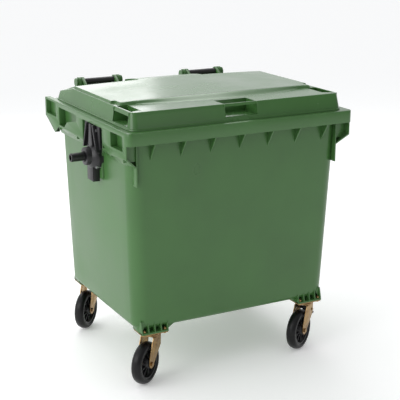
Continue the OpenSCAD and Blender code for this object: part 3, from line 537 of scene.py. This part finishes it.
# ---------------------------------------------------------------- the feet
# Four ribbed feet moulded under the tub's corners. Each has a thick base that the
# castor's plate is bolted to.
CASTORS = {"left_front": (-0.424, rim_yf + 0.132, -54.5), "right_front": (0.424, rim_yf + 0.132, -59.0),
           "left_rear": (-0.424, rim_yr - 0.142, -47.0), "right_rear": (0.424, rim_yr - 0.142, -52.0)}
PLATE_X, PLATE_Y = 0.135, 0.105
FOOT_BASE, FLANK = 0.008, 0.062
foot_top = floor_z + EDGE_UP + 0.012
feet = []
for x, y, turn in CASTORS.values():
    foot = [plate_mesh("foot_base", "xy", FOOT_Z, FOOT_BASE, [soft_corners([
        (-PLATE_X / 2, -PLATE_Y / 2), (PLATE_X / 2, -PLATE_Y / 2), (PLATE_X / 2, PLATE_Y / 2),
        (-PLATE_X / 2, PLATE_Y / 2)], 0.003)], 0.0015)]
    # the ribs' outer ends lean in to the wall above; ahead is the side away from the other axle
    ahead = -1 if y < 0 else 1
    wall_y = front_wall(foot_top) if y < 0 else tub_yr
    lean = abs(wall_y - y) - 0.001
    for i in range(5):
        at = -PLATE_X / 2 + RIB / 2 + i * (PLATE_X - RIB) / 4
        outline = [(-PLATE_Y / 2, FOOT_Z), (PLATE_Y / 2, FOOT_Z), (PLATE_Y / 2, foot_top), (-lean, foot_top),
                   (-PLATE_Y / 2 + 0.002, FOOT_Z + 0.010)]
        if ahead > 0:
            outline = [(-v, z) for v, z in outline[::-1]]
        foot.append(plate_mesh("foot_rib", "yz", at - RIB / 2, RIB, [outline], 0.0012))
    foot.append(plate_mesh("foot_core", "xz", -0.0145, 0.029, [[
        (-PLATE_X / 2 + 0.002, FOOT_Z), (PLATE_X / 2 - 0.002, FOOT_Z), (PLATE_X / 2 - 0.002, foot_top),
        (-PLATE_X / 2 + 0.002, foot_top)]], 0.001))
    # flanks: one towards the middle of the container, one along its side, one out to the side wall
    half_y = lean - 0.006
    foot.append(plate_mesh("foot_flank", "xz", -half_y, 2 * half_y, [soft_corners([
        (-PLATE_X / 2 + 0.002, FOOT_Z + 0.001), (-PLATE_X / 2 + 0.002, foot_top),
        (-PLATE_X / 2 - FLANK, foot_top), (-PLATE_X / 2 - FLANK, floor_z + 0.022)], 0.002)], 0.0012))
    sections = []
    for i in range(9):
        v = ahead * (lean - 0.003) * (1 - i / 4)
        past = max(0.0, abs(y + v) - (abs(wall_y) - TUB_CORNER))
        reach = half_width(foot_top) - TUB_CORNER + (TUB_CORNER ** 2 - past ** 2) ** 0.5 - abs(x) - 0.007
        sections.append([(u, v, z) for u, z in (
            (PLATE_X / 2 - 0.006, FOOT_Z + 0.002), (PLATE_X / 2, FOOT_Z + 0.002), (reach, floor_z + 0.020),
            (reach - 0.008, foot_top), (PLATE_X / 2 - 0.006, foot_top))])
    foot.append(loft("side_flank", sections))
    along = [(PLATE_Y / 2 - 0.002, FOOT_Z + 0.001), (PLATE_Y / 2 + FLANK, floor_z + 0.020),
             (PLATE_Y / 2 + FLANK, foot_top), (PLATE_Y / 2 - 0.002, foot_top)]
    if ahead > 0:
        along = [(-v, z) for v, z in along[::-1]]
    for at in (-PLATE_X / 2 + 0.003, -0.020, 0.020, PLATE_X / 2 - 0.009):
        foot.append(plate_mesh("long_flank", "yz", at, RIB, [along], 0.0012))
    mesh = joined("foot", foot)
    if x < 0:
        flipped = mirrored(mesh)
        bpy.data.meshes.remove(mesh)
        mesh = flipped
    mesh.transform(Matrix.Translation((x, y, 0)))
    feet.append(mesh)
feet = new_piece("castor_feet", joined("castor_feet", feet), "tub", tub_plastic)
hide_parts("body_tub")

# ---------------------------------------------------------------- trunnion pads and hinge cheeks
# Raised pads on the side walls carry the trunnion brackets. Behind the rear band,
# pairs of moulded cheeks hold the hinge rods.
TRUNNION_Z = 1.032
pad_x = rim_x - 0.014
trunnion_y = rim_yf + TRUNNION_Y
PAD_FACE = rim_x - 0.024
pad_back = half_width(TRUNNION_Z - 0.14) - WALL
PAD_HALF, pad_low, pad_high = 0.064, TRUNNION_Z - 0.103, RIM_TOP - 0.025
pad = plate_mesh("trunnion_pad", "yz", pad_back, PAD_FACE - pad_back, [soft_corners([
    (trunnion_y - PAD_HALF, pad_low), (trunnion_y + PAD_HALF, pad_low),
    (trunnion_y + PAD_HALF, pad_high), (trunnion_y - PAD_HALF, pad_high)],
    [0.012, 0.012, 0.003, 0.003])], 0.003)
pads = [mirrored(pad), pad]

ROD_R = 0.0185
EAR_T, EAR_R = 0.016, 0.026
CHEEK_SPAN, ROD_SPAN = 0.229, 0.596
rod_y, rod_z = band_y + 0.034, RIM_TOP + 0.062
rod_hole = arc(rod_y, rod_z, ROD_R + 0.0003, 0, 360, 40)[:-1]
cheek_outline = ([(band_y - 0.001, band_z), (band_y - 0.001, RIM_TOP - 0.001),
                  (band_y + 0.001, RIM_TOP - 0.001)]
                 + arc(rod_y, rod_z, EAR_R, 163, -17, 24)
                 + [(band_y + 0.030, RIM_TOP - 0.014), (band_y + 0.004, band_z)])
cheeks = []
for middle in (-ROD_SPAN / 2, ROD_SPAN / 2):
    for x in (middle - CHEEK_SPAN / 2, middle + CHEEK_SPAN / 2 - EAR_T):
        cheeks.append(plate_mesh("cheek", "yz", x, EAR_T, [cheek_outline, rod_hole], 0.002))
pads_mesh = joined("pads_and_cheeks", pads + cheeks)
pads = new_piece("pads_and_cheeks", pads_mesh, "tub", tub_plastic)
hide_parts("body_tub")

# ---------------------------------------------------------------- the lid's shell
# A flat lid in the same green HDPE: a thin moulded cap whose crowned main panel
# stands a little above a ledge at the front, and slopes down to the hinges.
LID_Z0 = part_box("lid")[0][2]
lid_x = tub_x - 0.001
lid_yf, lid_yr = rim_yf + 0.037, band_y - 0.004
LEDGE_Z = RIM_TOP + 0.077
PANEL_Z, CROWN = LEDGE_Z + 0.009, 0.009
SIDE_LEAN, FRONT_LEAN, REAR_LEAN = 0.013, 0.022, 0.016
LID_CORNER, LID_FILLET = 0.026, 0.004
LID_WALL = 0.004
CREASE_Y = lid_yr - 0.212
REAR_Z = RIM_TOP + 0.039
TONGUE_X, TONGUE_Z = 0.176, LEDGE_Z - 0.008
STEP_BACK = lid_yf + 0.215
BAR = 0.012
front_grip = (0.0825, lid_yf + FRONT_LEAN + 0.008, lid_yf + 0.118)
corner_grip = (lid_x - 0.074, lid_yf + 0.046, lid_yf + 0.205)
window_z = (RIM_TOP + 0.020, LEDGE_Z - BAR)
corner_window_z = (RIM_TOP + 0.012, LEDGE_Z - 0.018)
top_x = lid_x - SIDE_LEAN - LID_FILLET
top_yf, top_yr = lid_yf + FRONT_LEAN + LID_FILLET, lid_yr - REAR_LEAN - LID_FILLET
top_r = LID_CORNER - LID_FILLET

lid_plastic = moulded("lid_green_plastic", HDPE_GREEN, 0.24, 0.03, wear=0.06)


def smooth(t):
    t = min(1.0, max(0.0, t))
    return t * t * (3 - 2 * t)


def lid_top(x, y):
    """Height of the lid's upper face."""
    across = abs(x)
    panel = PANEL_Z + CROWN * (1 - (x / lid_x) ** 2)
    toe = STEP_BACK - 0.080 + 0.075 * min(1.0, (across / 0.43) ** 2)
    step = smooth((y - toe) / (STEP_BACK - toe + 0.004))
    edge = top_x - 0.006 - 0.020 * smooth((-0.196 - y) / 0.006)
    shoulder = smooth((edge - across) / 0.006)
    height = LEDGE_Z + (panel - LEDGE_Z) * step * shoulder
    if y > CREASE_Y:
        fall = (y - CREASE_Y) / (top_yr - CREASE_Y)
        tongue = smooth((TONGUE_X + 0.002 - across) / 0.004)
        low = height + (REAR_Z - height) * max(0.0, fall - 0.04) / 0.96
        high = panel + (TONGUE_Z - panel) * fall ** 1.5
        height = low + (high - low) * tongue
    return height


def grid_lines(marks, step):
    """Values from the first mark to the last, through every mark, no further apart than step."""
    marks = sorted(set(round(m, 6) for m in marks))
    lines = [marks[0]]
    for a, b in zip(marks, marks[1:]):
        n = max(1, int((b - a) / step + 0.999))
        lines += [a + (b - a) * i / n for i in range(1, n + 1)]
    return lines


def lid_corner(x, y):
    """Squeezes the square corner of the grid into a round one."""
    cx = (top_x - top_r) * (1 if x > 0 else -1)
    cy = top_yr - top_r if y > 0 else top_yf + top_r
    a, b = (x - cx) / top_r, (y - cy) / top_r
    if a * (1 if x > 0 else -1) <= 0 or b * (1 if y > 0 else -1) <= 0:
        return x, y
    return cx + top_r * a * (1 - b * b / 2) ** 0.5, cy + top_r * b * (1 - a * a / 2) ** 0.5


half_marks = [front_grip[0], TONGUE_X - 0.002, TONGUE_X + 0.002, corner_grip[0], top_x - top_r,
              top_x - 0.032, top_x - 0.026, top_x - 0.012, top_x - 0.006, top_x]
xs = grid_lines([0.0] + half_marks + [-m for m in half_marks], 0.0085)
ys = grid_lines([top_yf, front_grip[1], front_grip[2], top_yf + top_r, corner_grip[1], corner_grip[2],
                 STEP_BACK, -0.202, -0.196, CREASE_Y, CREASE_Y + 0.008, top_yr - top_r, top_yr], 0.0085)
nx, ny = len(xs), len(ys)
points = []
for y in ys:
    for x in xs:
        px, py = lid_corner(x, y)
        points.append((px, py, lid_top(px, py)))


def in_grip(x, y):
    front = abs(x) < front_grip[0] and front_grip[1] < y < front_grip[2]
    corner = abs(x) > corner_grip[0] and abs(x) < top_x - 0.006 and corner_grip[1] < y < corner_grip[2]
    return front or corner


faces = []
for j in range(ny - 1):
    for i in range(nx - 1):
        if not in_grip((xs[i] + xs[i + 1]) / 2, (ys[j] + ys[j + 1]) / 2):
            k = j * nx + i
            faces.append((k, k + 1, k + nx + 1, k + nx))
# the skirt: rings below the grid's border, leaning outwards, with a lip at the bottom
border = (list(range(nx)) + [j * nx + nx - 1 for j in range(1, ny)]
          + [(ny - 1) * nx + i for i in range(nx - 2, -1, -1)] + [j * nx for j in range(ny - 2, 0, -1)])
full = LEDGE_Z - LID_Z0
LIP = 0.0065
levels = [(LID_FILLET * sin(radians(a)), None, LID_FILLET * (1 - cos(radians(a)))) for a in (30, 60, 90)]
for z in (window_z[1], corner_window_z[1], 1.246, window_z[0], corner_window_z[0], LID_Z0 + LIP + 0.001):
    levels.append((LID_FILLET, z, 0.0))
levels += [(LID_FILLET + 0.0025, LID_Z0 + LIP, 0.0), (LID_FILLET + 0.003, LID_Z0 + LIP - 0.001, 0.0),
           (LID_FILLET + 0.003, LID_Z0 + 0.0005, 0.0)]
ring_start = []
for out, z, drop in levels:
    ring_start.append(len(points))
    for k in border:
        x, y, top = points[k]
        cx = max(-(top_x - top_r), min(top_x - top_r, x))
        cy = max(top_yf + top_r, min(top_yr - top_r, y))
        away = Vector((x - cx, y - cy))
        if away.length < 1e-6:
            away = Vector((0, -1)) if y < 0 else Vector((0, 1))
        away.normalize()
        share = 1.0 if z is None else (z - LID_Z0) / full
        lean = 1 - share
        level = top - drop if z is None else LID_Z0 + (top - LID_Z0) * share
        reach_y = FRONT_LEAN if away.y < 0 else REAR_LEAN
        points.append((x + away.x * (out + SIDE_LEAN * lean), y + away.y * (out + reach_y * lean), level))
n = len(border)
previous = None
for r, start in enumerate(ring_start):
    for i in range(n):
        j = (i + 1) % n
        upper = (border[i], border[j]) if previous is None else (previous + i, previous + j)
        mid_x = (points[border[i]][0] + points[border[j]][0]) / 2
        mid_y = (points[border[i]][1] + points[border[j]][1]) / 2
        is_front = mid_y < top_yf + 0.001 and abs(mid_x) < front_grip[0] and r in (4, 5, 6)
        is_side = abs(mid_x) > top_x - 0.001 and corner_grip[1] < mid_y < corner_grip[2] and r in (5, 6, 7)
        if not is_front and not is_side:
            faces.append((upper[0], upper[1], start + j, start + i))
    previous = start
mesh = bpy.data.meshes.new("lid_shell")
mesh.from_pydata(points, [], faces)
shape = bmesh.new()
shape.from_mesh(mesh)
bmesh.ops.recalc_face_normals(shape, faces=shape.faces)
if sum(f.normal.z for f in shape.faces) < 0:
    bmesh.ops.reverse_faces(shape, faces=shape.faces)
bmesh.ops.delete(shape, geom=[v for v in shape.verts if not v.link_faces], context="VERTS")
shape.to_mesh(mesh)
shape.free()


def applied(piece):
    """Applies a piece's modifiers to its mesh."""
    bpy.context.view_layer.update()
    done = bpy.data.meshes.new_from_object(piece.evaluated_get(bpy.context.evaluated_depsgraph_get()))
    old = piece.data
    piece.modifiers.clear()
    piece.data = done
    bpy.data.meshes.remove(old)


lid_shell = bpy.data.objects.new("lid_shell", mesh)
scene.collection.objects.link(lid_shell)
thick = lid_shell.modifiers.new("wall", "SOLIDIFY")
thick.thickness = LID_WALL
thick.offset = -1
thick.use_even_offset = False
applied(lid_shell)
lid_mesh = lid_shell.data
bpy.data.objects.remove(lid_shell)
lid_shell = new_piece("lid_shell", lid_mesh, "lid", lid_plastic)
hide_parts("lid")

# ---------------------------------------------------------------- the lid's grips, ribs and lugs
# Moulded in one with the shell: pockets under the grips, stiffening ribs under
# the panel, and four lugs that turn on the hinge rods.
lid_parts = []
LINER = 0.004


def pocket(x0, x1, y0, y1, z0, z1, open_side):
    """Floor and walls of a hand pocket; open_side is the wall left out."""
    parts = [plate_mesh("floor", "xy", z0 - LINER, LINER, [[(x0, y0), (x1, y0), (x1, y1), (x0, y1)]])]
    walls = {"-y": ((x0, y0 - LINER, z0 - LINER), (x1, y0, z1)),
             "+y": ((x0, y1, z0 - LINER), (x1, y1 + LINER, z1)),
             "-x": ((x0 - LINER, y0, z0 - LINER), (x0, y1, z1)),
             "+x": ((x1, y0, z0 - LINER), (x1 + LINER, y1, z1))}
    for place, (low, high) in walls.items():
        if place != open_side:
            parts.append(box_plate("wall", low, high))
    return parts


lid_parts += pocket(-front_grip[0], front_grip[0], lid_yf + 0.015, front_grip[2], window_z[0],
                    LEDGE_Z - 0.002, "-y")
right_grip = pocket(corner_grip[0], lid_x - 0.008, corner_grip[1], corner_grip[2], corner_window_z[0],
                    LEDGE_Z - 0.002, "+x")
# the mouth of the corner grip narrows towards the front, as a slanted web closes that end
right_grip.append(plate_mesh("slant", "xy", LEDGE_Z - 0.004, 0.004, [[
    (corner_grip[0] - 0.001, corner_grip[1] - 0.001), (top_x - 0.005, corner_grip[1] - 0.001),
    (top_x - 0.005, corner_grip[1] + 0.001), (corner_grip[0] - 0.001, corner_grip[1] + 0.026)]], 0.0008))
right_grip = joined("corner_grip", right_grip)
lid_parts += [mirrored(right_grip), right_grip]

for x in (-0.33, -0.11, 0.11, 0.33):
    along = grid_lines([STEP_BACK + 0.01, CREASE_Y, lid_yr - 0.03], 0.04)
    tops = [(y, lid_top(x, y) - LID_WALL + 0.001) for y in along]
    outline = [(tops[0][0], RIM_TOP + 0.040), (tops[-1][0], RIM_TOP + 0.025)] + tops[::-1]
    lid_parts.append(plate_mesh("rib", "yz", x - 0.002, 0.004, [outline], 0.0008))

SLIDE = 0.0015
lug_outline = ([(lid_yr - 0.012, LID_Z0 + 0.004), (lid_yr, LID_Z0 + 0.004)]
               + arc(rod_y, rod_z, EAR_R, -70, 107, 24) + [(lid_yr - 0.034, REAR_Z - 0.001)])
lug_hole = arc(rod_y, rod_z, ROD_R + 0.00005, 0, 360, 40)[:-1]
for middle in (-ROD_SPAN / 2, ROD_SPAN / 2):
    for x in (middle - CHEEK_SPAN / 2 + EAR_T + SLIDE, middle + CHEEK_SPAN / 2 - 2 * EAR_T - SLIDE):
        lid_parts.append(plate_mesh("lug", "yz", x, EAR_T, [lug_outline, lug_hole], 0.002))
fittings_mesh = joined("lid_grips_and_lugs", lid_parts)
lid_fittings = new_piece("lid_grips_and_lugs", fittings_mesh, "lid", lid_plastic)
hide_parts("lid")

# ---------------------------------------------------------------- hinge rods
# Two black-coated steel tubes through the cheeks and lugs, each closed by a
# push-in plug at both ends.


def finish(node_name, material, bevel=0.0):
    """Gives a CAD piece its finish, and rounds its sharp edges a little."""
    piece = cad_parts[node_name]
    piece.data.materials.clear()
    piece.data.materials.append(material)
    if bevel > 0:
        edge = piece.modifiers.new("edges", "BEVEL")
        edge.width = bevel
        edge.segments = 2
        edge.limit_method = "ANGLE"
        edge.angle_limit = radians(40)
        edge.harden_normals = False


coated_steel = moulded("black_coated_steel", (0.0045, 0.0045, 0.005), 0.33, 0.25, wear=0.10)
black_plastic = moulded("black_moulded_plastic", (0.0045, 0.0042, 0.0055), 0.36, 0.3, wear=0.10)
for side_name in ("left", "right"):
    finish(f"hinge_rod_{side_name}", coated_steel)
finish("hinge_rod_caps", tub_plastic, 0.002)

# ---------------------------------------------------------------- trunnion brackets
# The black moulded brackets that carry the lifting trunnions: a domed disc and
# boss, a flat arm with two ridges above and a hollow foot below, screwed to the pad.
BOSS_X, BOSS_R, DISC_R = rim_x + 0.037, 0.043, 0.066
ARM_TOP = RIM_TOP - 0.028
ARM_HALF, ARM_NECK = 0.088, 0.055
arm_foot, arm_widens = TRUNNION_Z + 0.008, TRUNNION_Z + 0.046


def turned(name, profile, centre, steps=64, axis="x"):
    """A solid of revolution: profile holds (distance along the axis, radius) pairs."""
    rings = []
    for along, r in profile:
        if axis == "x":
            rings.append([(centre[0] + along, centre[1] + r * cos(2 * pi * i / steps),
                           centre[2] + r * sin(2 * pi * i / steps)) for i in range(steps)])
        else:
            rings.append([(centre[0] + r * cos(2 * pi * i / steps), centre[1] + r * sin(2 * pi * i / steps),
                           centre[2] + along) for i in range(steps)])
    return loft(name, rings)


disc = [(-0.022, DISC_R), (0.000, DISC_R), (0.003, DISC_R - 0.0005), (0.010, DISC_R - 0.004),
        (0.017, DISC_R - 0.009), (0.023, DISC_R - 0.015), (0.028, DISC_R - 0.021), (0.031, DISC_R - 0.026),
        (0.031, 0.012)]
bracket = [turned("disc", disc, (pad_x, trunnion_y, TRUNNION_Z - 0.008))]
boss_long = BOSS_X - pad_x
boss = [(0.0, BOSS_R), (boss_long - 0.004, BOSS_R - 0.001), (boss_long - 0.001, BOSS_R - 0.002),
        (boss_long, BOSS_R - 0.005), (boss_long, 0.026), (boss_long - 0.003, 0.0235),
        (boss_long - 0.012, 0.0215)]
bracket.append(turned("boss", boss, (pad_x, trunnion_y, TRUNNION_Z)))
bracket.append(plate_mesh("arm", "yz", PAD_FACE, pad_x + 0.009 - PAD_FACE, [soft_corners([
    (trunnion_y - ARM_HALF, arm_widens), (trunnion_y - ARM_NECK, arm_foot),
    (trunnion_y + ARM_NECK, arm_foot), (trunnion_y + ARM_HALF, arm_widens),
    (trunnion_y + ARM_HALF, ARM_TOP), (trunnion_y - ARM_HALF, ARM_TOP)],
    [0.01, 0.01, 0.01, 0.01, 0.006, 0.006])], 0.002))
for s in (-1, 1):
    ridge = [(trunnion_y + s * 0.084, TRUNNION_Z + 0.030), (trunnion_y + s * 0.074, TRUNNION_Z + 0.030),
             (trunnion_y + s * 0.030, ARM_TOP - 0.001), (trunnion_y + s * 0.044, ARM_TOP - 0.001)]
    bracket.append(plate_mesh("ridge", "yz", pad_x, 0.024, [ridge[::s]], 0.002))
bracket.append(plate_mesh("middle_rib", "yz", pad_x, 0.020, [[
    (trunnion_y - 0.026, TRUNNION_Z + 0.020), (trunnion_y + 0.026, TRUNNION_Z + 0.020),
    (trunnion_y + 0.012, ARM_TOP - 0.001), (trunnion_y - 0.012, ARM_TOP - 0.001)]], 0.002))
foot_low, foot_high = TRUNNION_Z - 0.117, TRUNNION_Z - 0.030
FOOT_HALF, FOOT_OUT, FOOT_WALL = 0.0355, 0.0235, 0.006
for y in (trunnion_y - FOOT_HALF, trunnion_y + FOOT_HALF - FOOT_WALL):
    bracket.append(box_plate("foot_wall", (PAD_FACE, y, foot_low),
                             (pad_x + FOOT_OUT, y + FOOT_WALL, foot_high), 0.0015))
bracket.append(plate_mesh("foot_face", "yz", pad_x + FOOT_OUT - 0.005, 0.005, [soft_corners([
    (trunnion_y - FOOT_HALF, foot_low), (trunnion_y + FOOT_HALF, foot_low),
    (trunnion_y + FOOT_HALF, foot_high), (trunnion_y - FOOT_HALF, foot_high)], 0.002)], 0.0015))
bracket.append(plate_mesh("foot_back", "yz", PAD_FACE, 0.005, [[
    (trunnion_y - FOOT_HALF + 0.001, foot_low), (trunnion_y + FOOT_HALF - 0.001, foot_low),
    (trunnion_y + FOOT_HALF - 0.001, foot_high), (trunnion_y - FOOT_HALF + 0.001, foot_high)]], 0.001))
right_bracket = joined("bracket_right", bracket)
for side_name, mesh in (("left", mirrored(right_bracket)), ("right", right_bracket)):
    piece = new_piece(f"bracket_{side_name}", mesh, "tub", black_plastic, 40)
    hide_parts(f"trunnion_bracket_{side_name}")
    finish(f"trunnion_pin_{side_name}", coated_steel)


def plated(name, tints, rough):
    """Zinc-plated steel: the passivated layer's tints drift over the surface, with fine scratches."""
    material = bpy.data.materials.new(name)
    material.use_nodes = True
    tree = material.node_tree
    nodes, link = tree.nodes, tree.links.new
    shader = nodes["Principled BSDF"]
    shader.inputs["Metallic"].default_value = 1.0
    place = nodes.new("ShaderNodeTexCoord")
    drift = noise(tree, place, 22.0, 4.0)
    tint = nodes.new("ShaderNodeValToRGB")
    ramp = tint.color_ramp
    for i in range(len(tints) - 2):
        ramp.elements.new(0.5)
    for i, colour in enumerate(tints):
        ramp.elements[i].position = 0.32 + 0.36 * i / (len(tints) - 1)
        ramp.elements[i].color = (*colour, 1.0)
    link(drift, tint.inputs["Fac"])
    link(tint.outputs["Color"], shader.inputs["Base Color"])
    scratch = noise(tree, place, 260.0, 2.0)
    link(mapped(tree, scratch, (0.25, 0.75), (rough - 0.08, rough + 0.12)), shader.inputs["Roughness"])
    textured(tree, shader, drift, 0.12, 0.0004)
    return material


bright_zinc = plated("bright_zinc_plate", [(0.50, 0.50, 0.51), (0.62, 0.63, 0.65)], 0.33)
yellow_zinc = plated("yellow_zinc_plate",
                     [(0.21, 0.125, 0.052), (0.36, 0.235, 0.105), (0.27, 0.17, 0.09)], 0.27)
finish("trunnion_screws", bright_zinc, 0.0006)

# ---------------------------------------------------------------- the drain plug
# A quarter-turn plug with a wing grip under the floor, on a rubber ring, that
# lets rainwater and washing water out.


def rubbery(name, colour, rough, shine):
    """Solid rubber: slightly mottled, with a duller reflection than plastic has."""
    material = moulded(name, colour, rough, 0.4, wear=0.04)
    material.node_tree.nodes["Principled BSDF"].inputs["Specular IOR Level"].default_value = shine
    return material


rubber = rubbery("black_rubber", (0.0045, 0.0045, 0.005), 0.5, 0.4)
finish("drain_plug", black_plastic, 0.001)
finish("drain_seal", rubber)

# ---------------------------------------------------------------- castor plates, bolts and balls
# Each swivel castor hangs on a pressed plate held to its foot by four bolts. A ring
# of steel balls and a kingpin carry the fork.
for corner_name in CASTORS:
    finish(f"castor_plate_{corner_name}", yellow_zinc, 0.0008)
    finish(f"castor_kingpin_{corner_name}", yellow_zinc, 0.0008)
    finish(f"castor_balls_{corner_name}", bright_zinc)
finish("castor_bolts", yellow_zinc, 0.0006)
finish("castor_nuts", yellow_zinc, 0.0006)

# ---------------------------------------------------------------- castor forks
# Forks pressed from one steel sheet and yellow zinc plated: a bridge under the
# swivel head with a leg folded down on each side of the wheel.
CASTOR_H, CASTOR_PLATE = FOOT_Z, 0.004
HEAD_Z = CASTOR_H - CASTOR_PLATE
CROWN_Z = HEAD_Z - 0.016 + 0.002
TRAIL, WHEEL_R, WHEEL_W = 0.057, 0.100, 0.050
LEG_IN, LEG_T, BEND = WHEEL_W / 2 + 0.006, 0.004, 0.010
LEG_END, BEAD = 0.021, 0.0018
leg_out = LEG_IN + LEG_T
front_edge = [(CROWN_Z, 0.034), (0.169, 0.030), (WHEEL_R - 0.0054, -TRAIL + 0.0203)]
back_edge = [(CROWN_Z, -0.034), (WHEEL_R + 0.030, -TRAIL - 0.019), (WHEEL_R + 0.0054, -TRAIL - 0.0203)]


def along_edge(edge, z, side):
    """Where the leg's front (+1) or back (-1) edge is at a height."""
    for (z0, y0), (z1, y1) in zip(edge, edge[1:]):
        if z >= z1:
            return y1 + (y0 - y1) * min(1.0, (z - z1) / (z0 - z1))
    return -TRAIL + side * max(0.0, LEG_END ** 2 - (z - WHEEL_R) ** 2) ** 0.5


def fork_mesh():
    down = grid_lines([WHEEL_R - LEG_END + 0.0001, WHEEL_R - 0.019, WHEEL_R - 0.015, WHEEL_R - 0.008, WHEEL_R,
                       0.169, CROWN_Z - BEND], 0.006)
    path = [(leg_out, z) for z in down]
    path += [(leg_out - BEND + BEND * cos(radians(a)), CROWN_Z - BEND + BEND * sin(radians(a)))
             for a in range(15, 91, 15)]
    path += [(x, CROWN_Z) for x in (0.015, 0.005)]
    path += [(-x, z) for x, z in path[::-1]]
    cross = 14
    spots = []
    for x, z in path:
        y0, y1 = along_edge(back_edge, z, -1), along_edge(front_edge, z, 1)
        for i in range(cross + 1):
            t = 2 * i / cross - 1
            rise, fall = smooth((z - 0.122) / 0.012), smooth((0.202 - z) / 0.01)
            bump = BEAD * rise * fall * smooth((0.55 - abs(t)) / 0.25)
            spots.append((x + (bump if x > 0 else -bump), y0 + (y1 - y0) * (t + 1) / 2, z))
    row = cross + 1
    quads = [(k * row + i, k * row + i + 1, (k + 1) * row + i + 1, (k + 1) * row + i)
             for k in range(len(path) - 1) for i in range(cross)]
    sheet = bpy.data.meshes.new("fork_sheet")
    sheet.from_pydata(spots, [], quads)
    holder = bpy.data.objects.new("fork_sheet", sheet)
    scene.collection.objects.link(holder)
    wall = holder.modifiers.new("wall", "SOLIDIFY")
    wall.thickness = LEG_T
    wall.offset = 1 if sheet.polygons[0].normal.x < 0 else -1
    rim_edge = holder.modifiers.new("edges", "BEVEL")
    rim_edge.width = 0.0008
    rim_edge.segments = 2
    rim_edge.limit_method = "ANGLE"
    rim_edge.angle_limit = radians(60)
    applied(holder)
    sheet = holder.data
    bpy.data.objects.remove(holder)
    race = [(-0.0045, 0.010), (-0.0045, 0.035), (-0.003, 0.038), (0.002, 0.0385), (0.0034, 0.0378),
            (0.0038, 0.0365), (0.0038, 0.010)]
    cup = turned("cup", race, (0, 0, CROWN_Z), 48, "z")
    return joined("fork", [sheet, cup])


# ---------------------------------------------------------------- castor wheels
# Solid black rubber tyres on moulded cores: a hub and a web between two rows of
# radial ribs, turning on a plastic bearing over the axle's fixed sleeve.
HUB_HALF, BEARING_R, CORE_R = WHEEL_W / 2 + 0.003, 0.015, WHEEL_R - 0.027
RIBS = 10


def tyre_mesh():
    half = WHEEL_W / 2
    side = [(-half + 0.0045, CORE_R + 0.0001), (-half + 0.001, CORE_R + 0.005), (-half, CORE_R + 0.0065),
            (-half + 0.0004, CORE_R + 0.0085), (-half, CORE_R + 0.0105)]
    crown = [(-(half - 0.0006) * cos(radians(a)), WHEEL_R - 0.0145 + 0.0145 * sin(radians(a)))
             for a in range(6, 88, 9)]
    profile = side + crown + [(-0.0012, WHEEL_R), (0.0012, WHEEL_R)]
    profile += [(-x, r) for x, r in profile[::-1][2:]]
    return turned_ring("tyre", profile)


def turned_ring(name, profile, steps=72):
    """A closed ring of revolution about the wheel's axle."""
    rings = []
    for i in range(steps):
        a = 2 * pi * i / steps
        rings.append([(x, -TRAIL + r * cos(a), WHEEL_R + r * sin(a)) for x, r in profile])
    return loft(name, rings, closed=True)


def core_mesh():
    inner = BEARING_R + 0.0001
    half = [(HUB_HALF, inner), (HUB_HALF, BEARING_R + 0.0055), (HUB_HALF - 0.0015, BEARING_R + 0.0075),
            (0.014, BEARING_R + 0.0105), (0.006, BEARING_R + 0.014), (0.005, CORE_R - 0.013),
            (0.010, CORE_R - 0.0095), (WHEEL_W / 2 - 0.005, CORE_R - 0.0065),
            (WHEEL_W / 2 - 0.0045, CORE_R - 0.0055),
            (WHEEL_W / 2 - 0.0045, CORE_R)]
    parts = [turned_ring("core", half + [(-x, r) for x, r in half[::-1]])]
    for i in range(RIBS):
        rib = plate_mesh("spoke", "xz", -0.002, 0.004, [[
            (-0.017, BEARING_R + 0.006), (0.017, BEARING_R + 0.006), (0.012, CORE_R - 0.008),
            (-0.012, CORE_R - 0.008)]], 0.0008)
        rib.transform(Matrix.Translation((0, -TRAIL, WHEEL_R)) @ Matrix.Rotation(2 * pi * i / RIBS, 4, "X"))
        parts.append(rib)
    return joined("core", parts)


tyre_rubber = rubbery("tyre_rubber", (0.002, 0.002, 0.0025), 0.33, 0.3)
bearing_plastic = moulded("bearing_plastic", (0.55, 0.54, 0.48), 0.4, 0.2)
for corner_name, (x, y, turn) in CASTORS.items():
    stand = Matrix.Translation((x, y, 0)) @ Matrix.Rotation(radians(turn), 4, "Z")
    fork, tyre, core = fork_mesh(), tyre_mesh(), core_mesh()
    for mesh in (fork, tyre, core):
        mesh.transform(stand)
    fork = new_piece(f"fork_{corner_name}", fork, f"fork_{corner_name}", yellow_zinc, 40)
    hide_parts(f"castor_fork_{corner_name}")
    tyre = new_piece(f"tyre_{corner_name}", tyre, f"wheel_{corner_name}", tyre_rubber, 40)
    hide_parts(f"castor_tyre_{corner_name}")
    core = new_piece(f"core_{corner_name}", core, f"wheel_{corner_name}", black_plastic, 40)
    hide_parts(f"castor_core_{corner_name}")
    finish(f"castor_bearing_{corner_name}", bearing_plastic)
    finish(f"castor_sleeve_{corner_name}", bright_zinc)
    finish(f"castor_axle_bolt_{corner_name}", yellow_zinc, 0.0006)
    finish(f"castor_axle_nut_{corner_name}", yellow_zinc, 0.0006)

# ---------------------------------------------------------------- foot brakes
# The right-hand castors have a black foot pedal on a pin through the fork, whose
# cam presses on the tyre when the pedal is pushed down.
for corner_name in ("right_front", "right_rear"):
    finish(f"brake_pedal_{corner_name}", black_plastic, 0.0015)
    finish(f"brake_pin_{corner_name}", yellow_zinc, 0.0006)
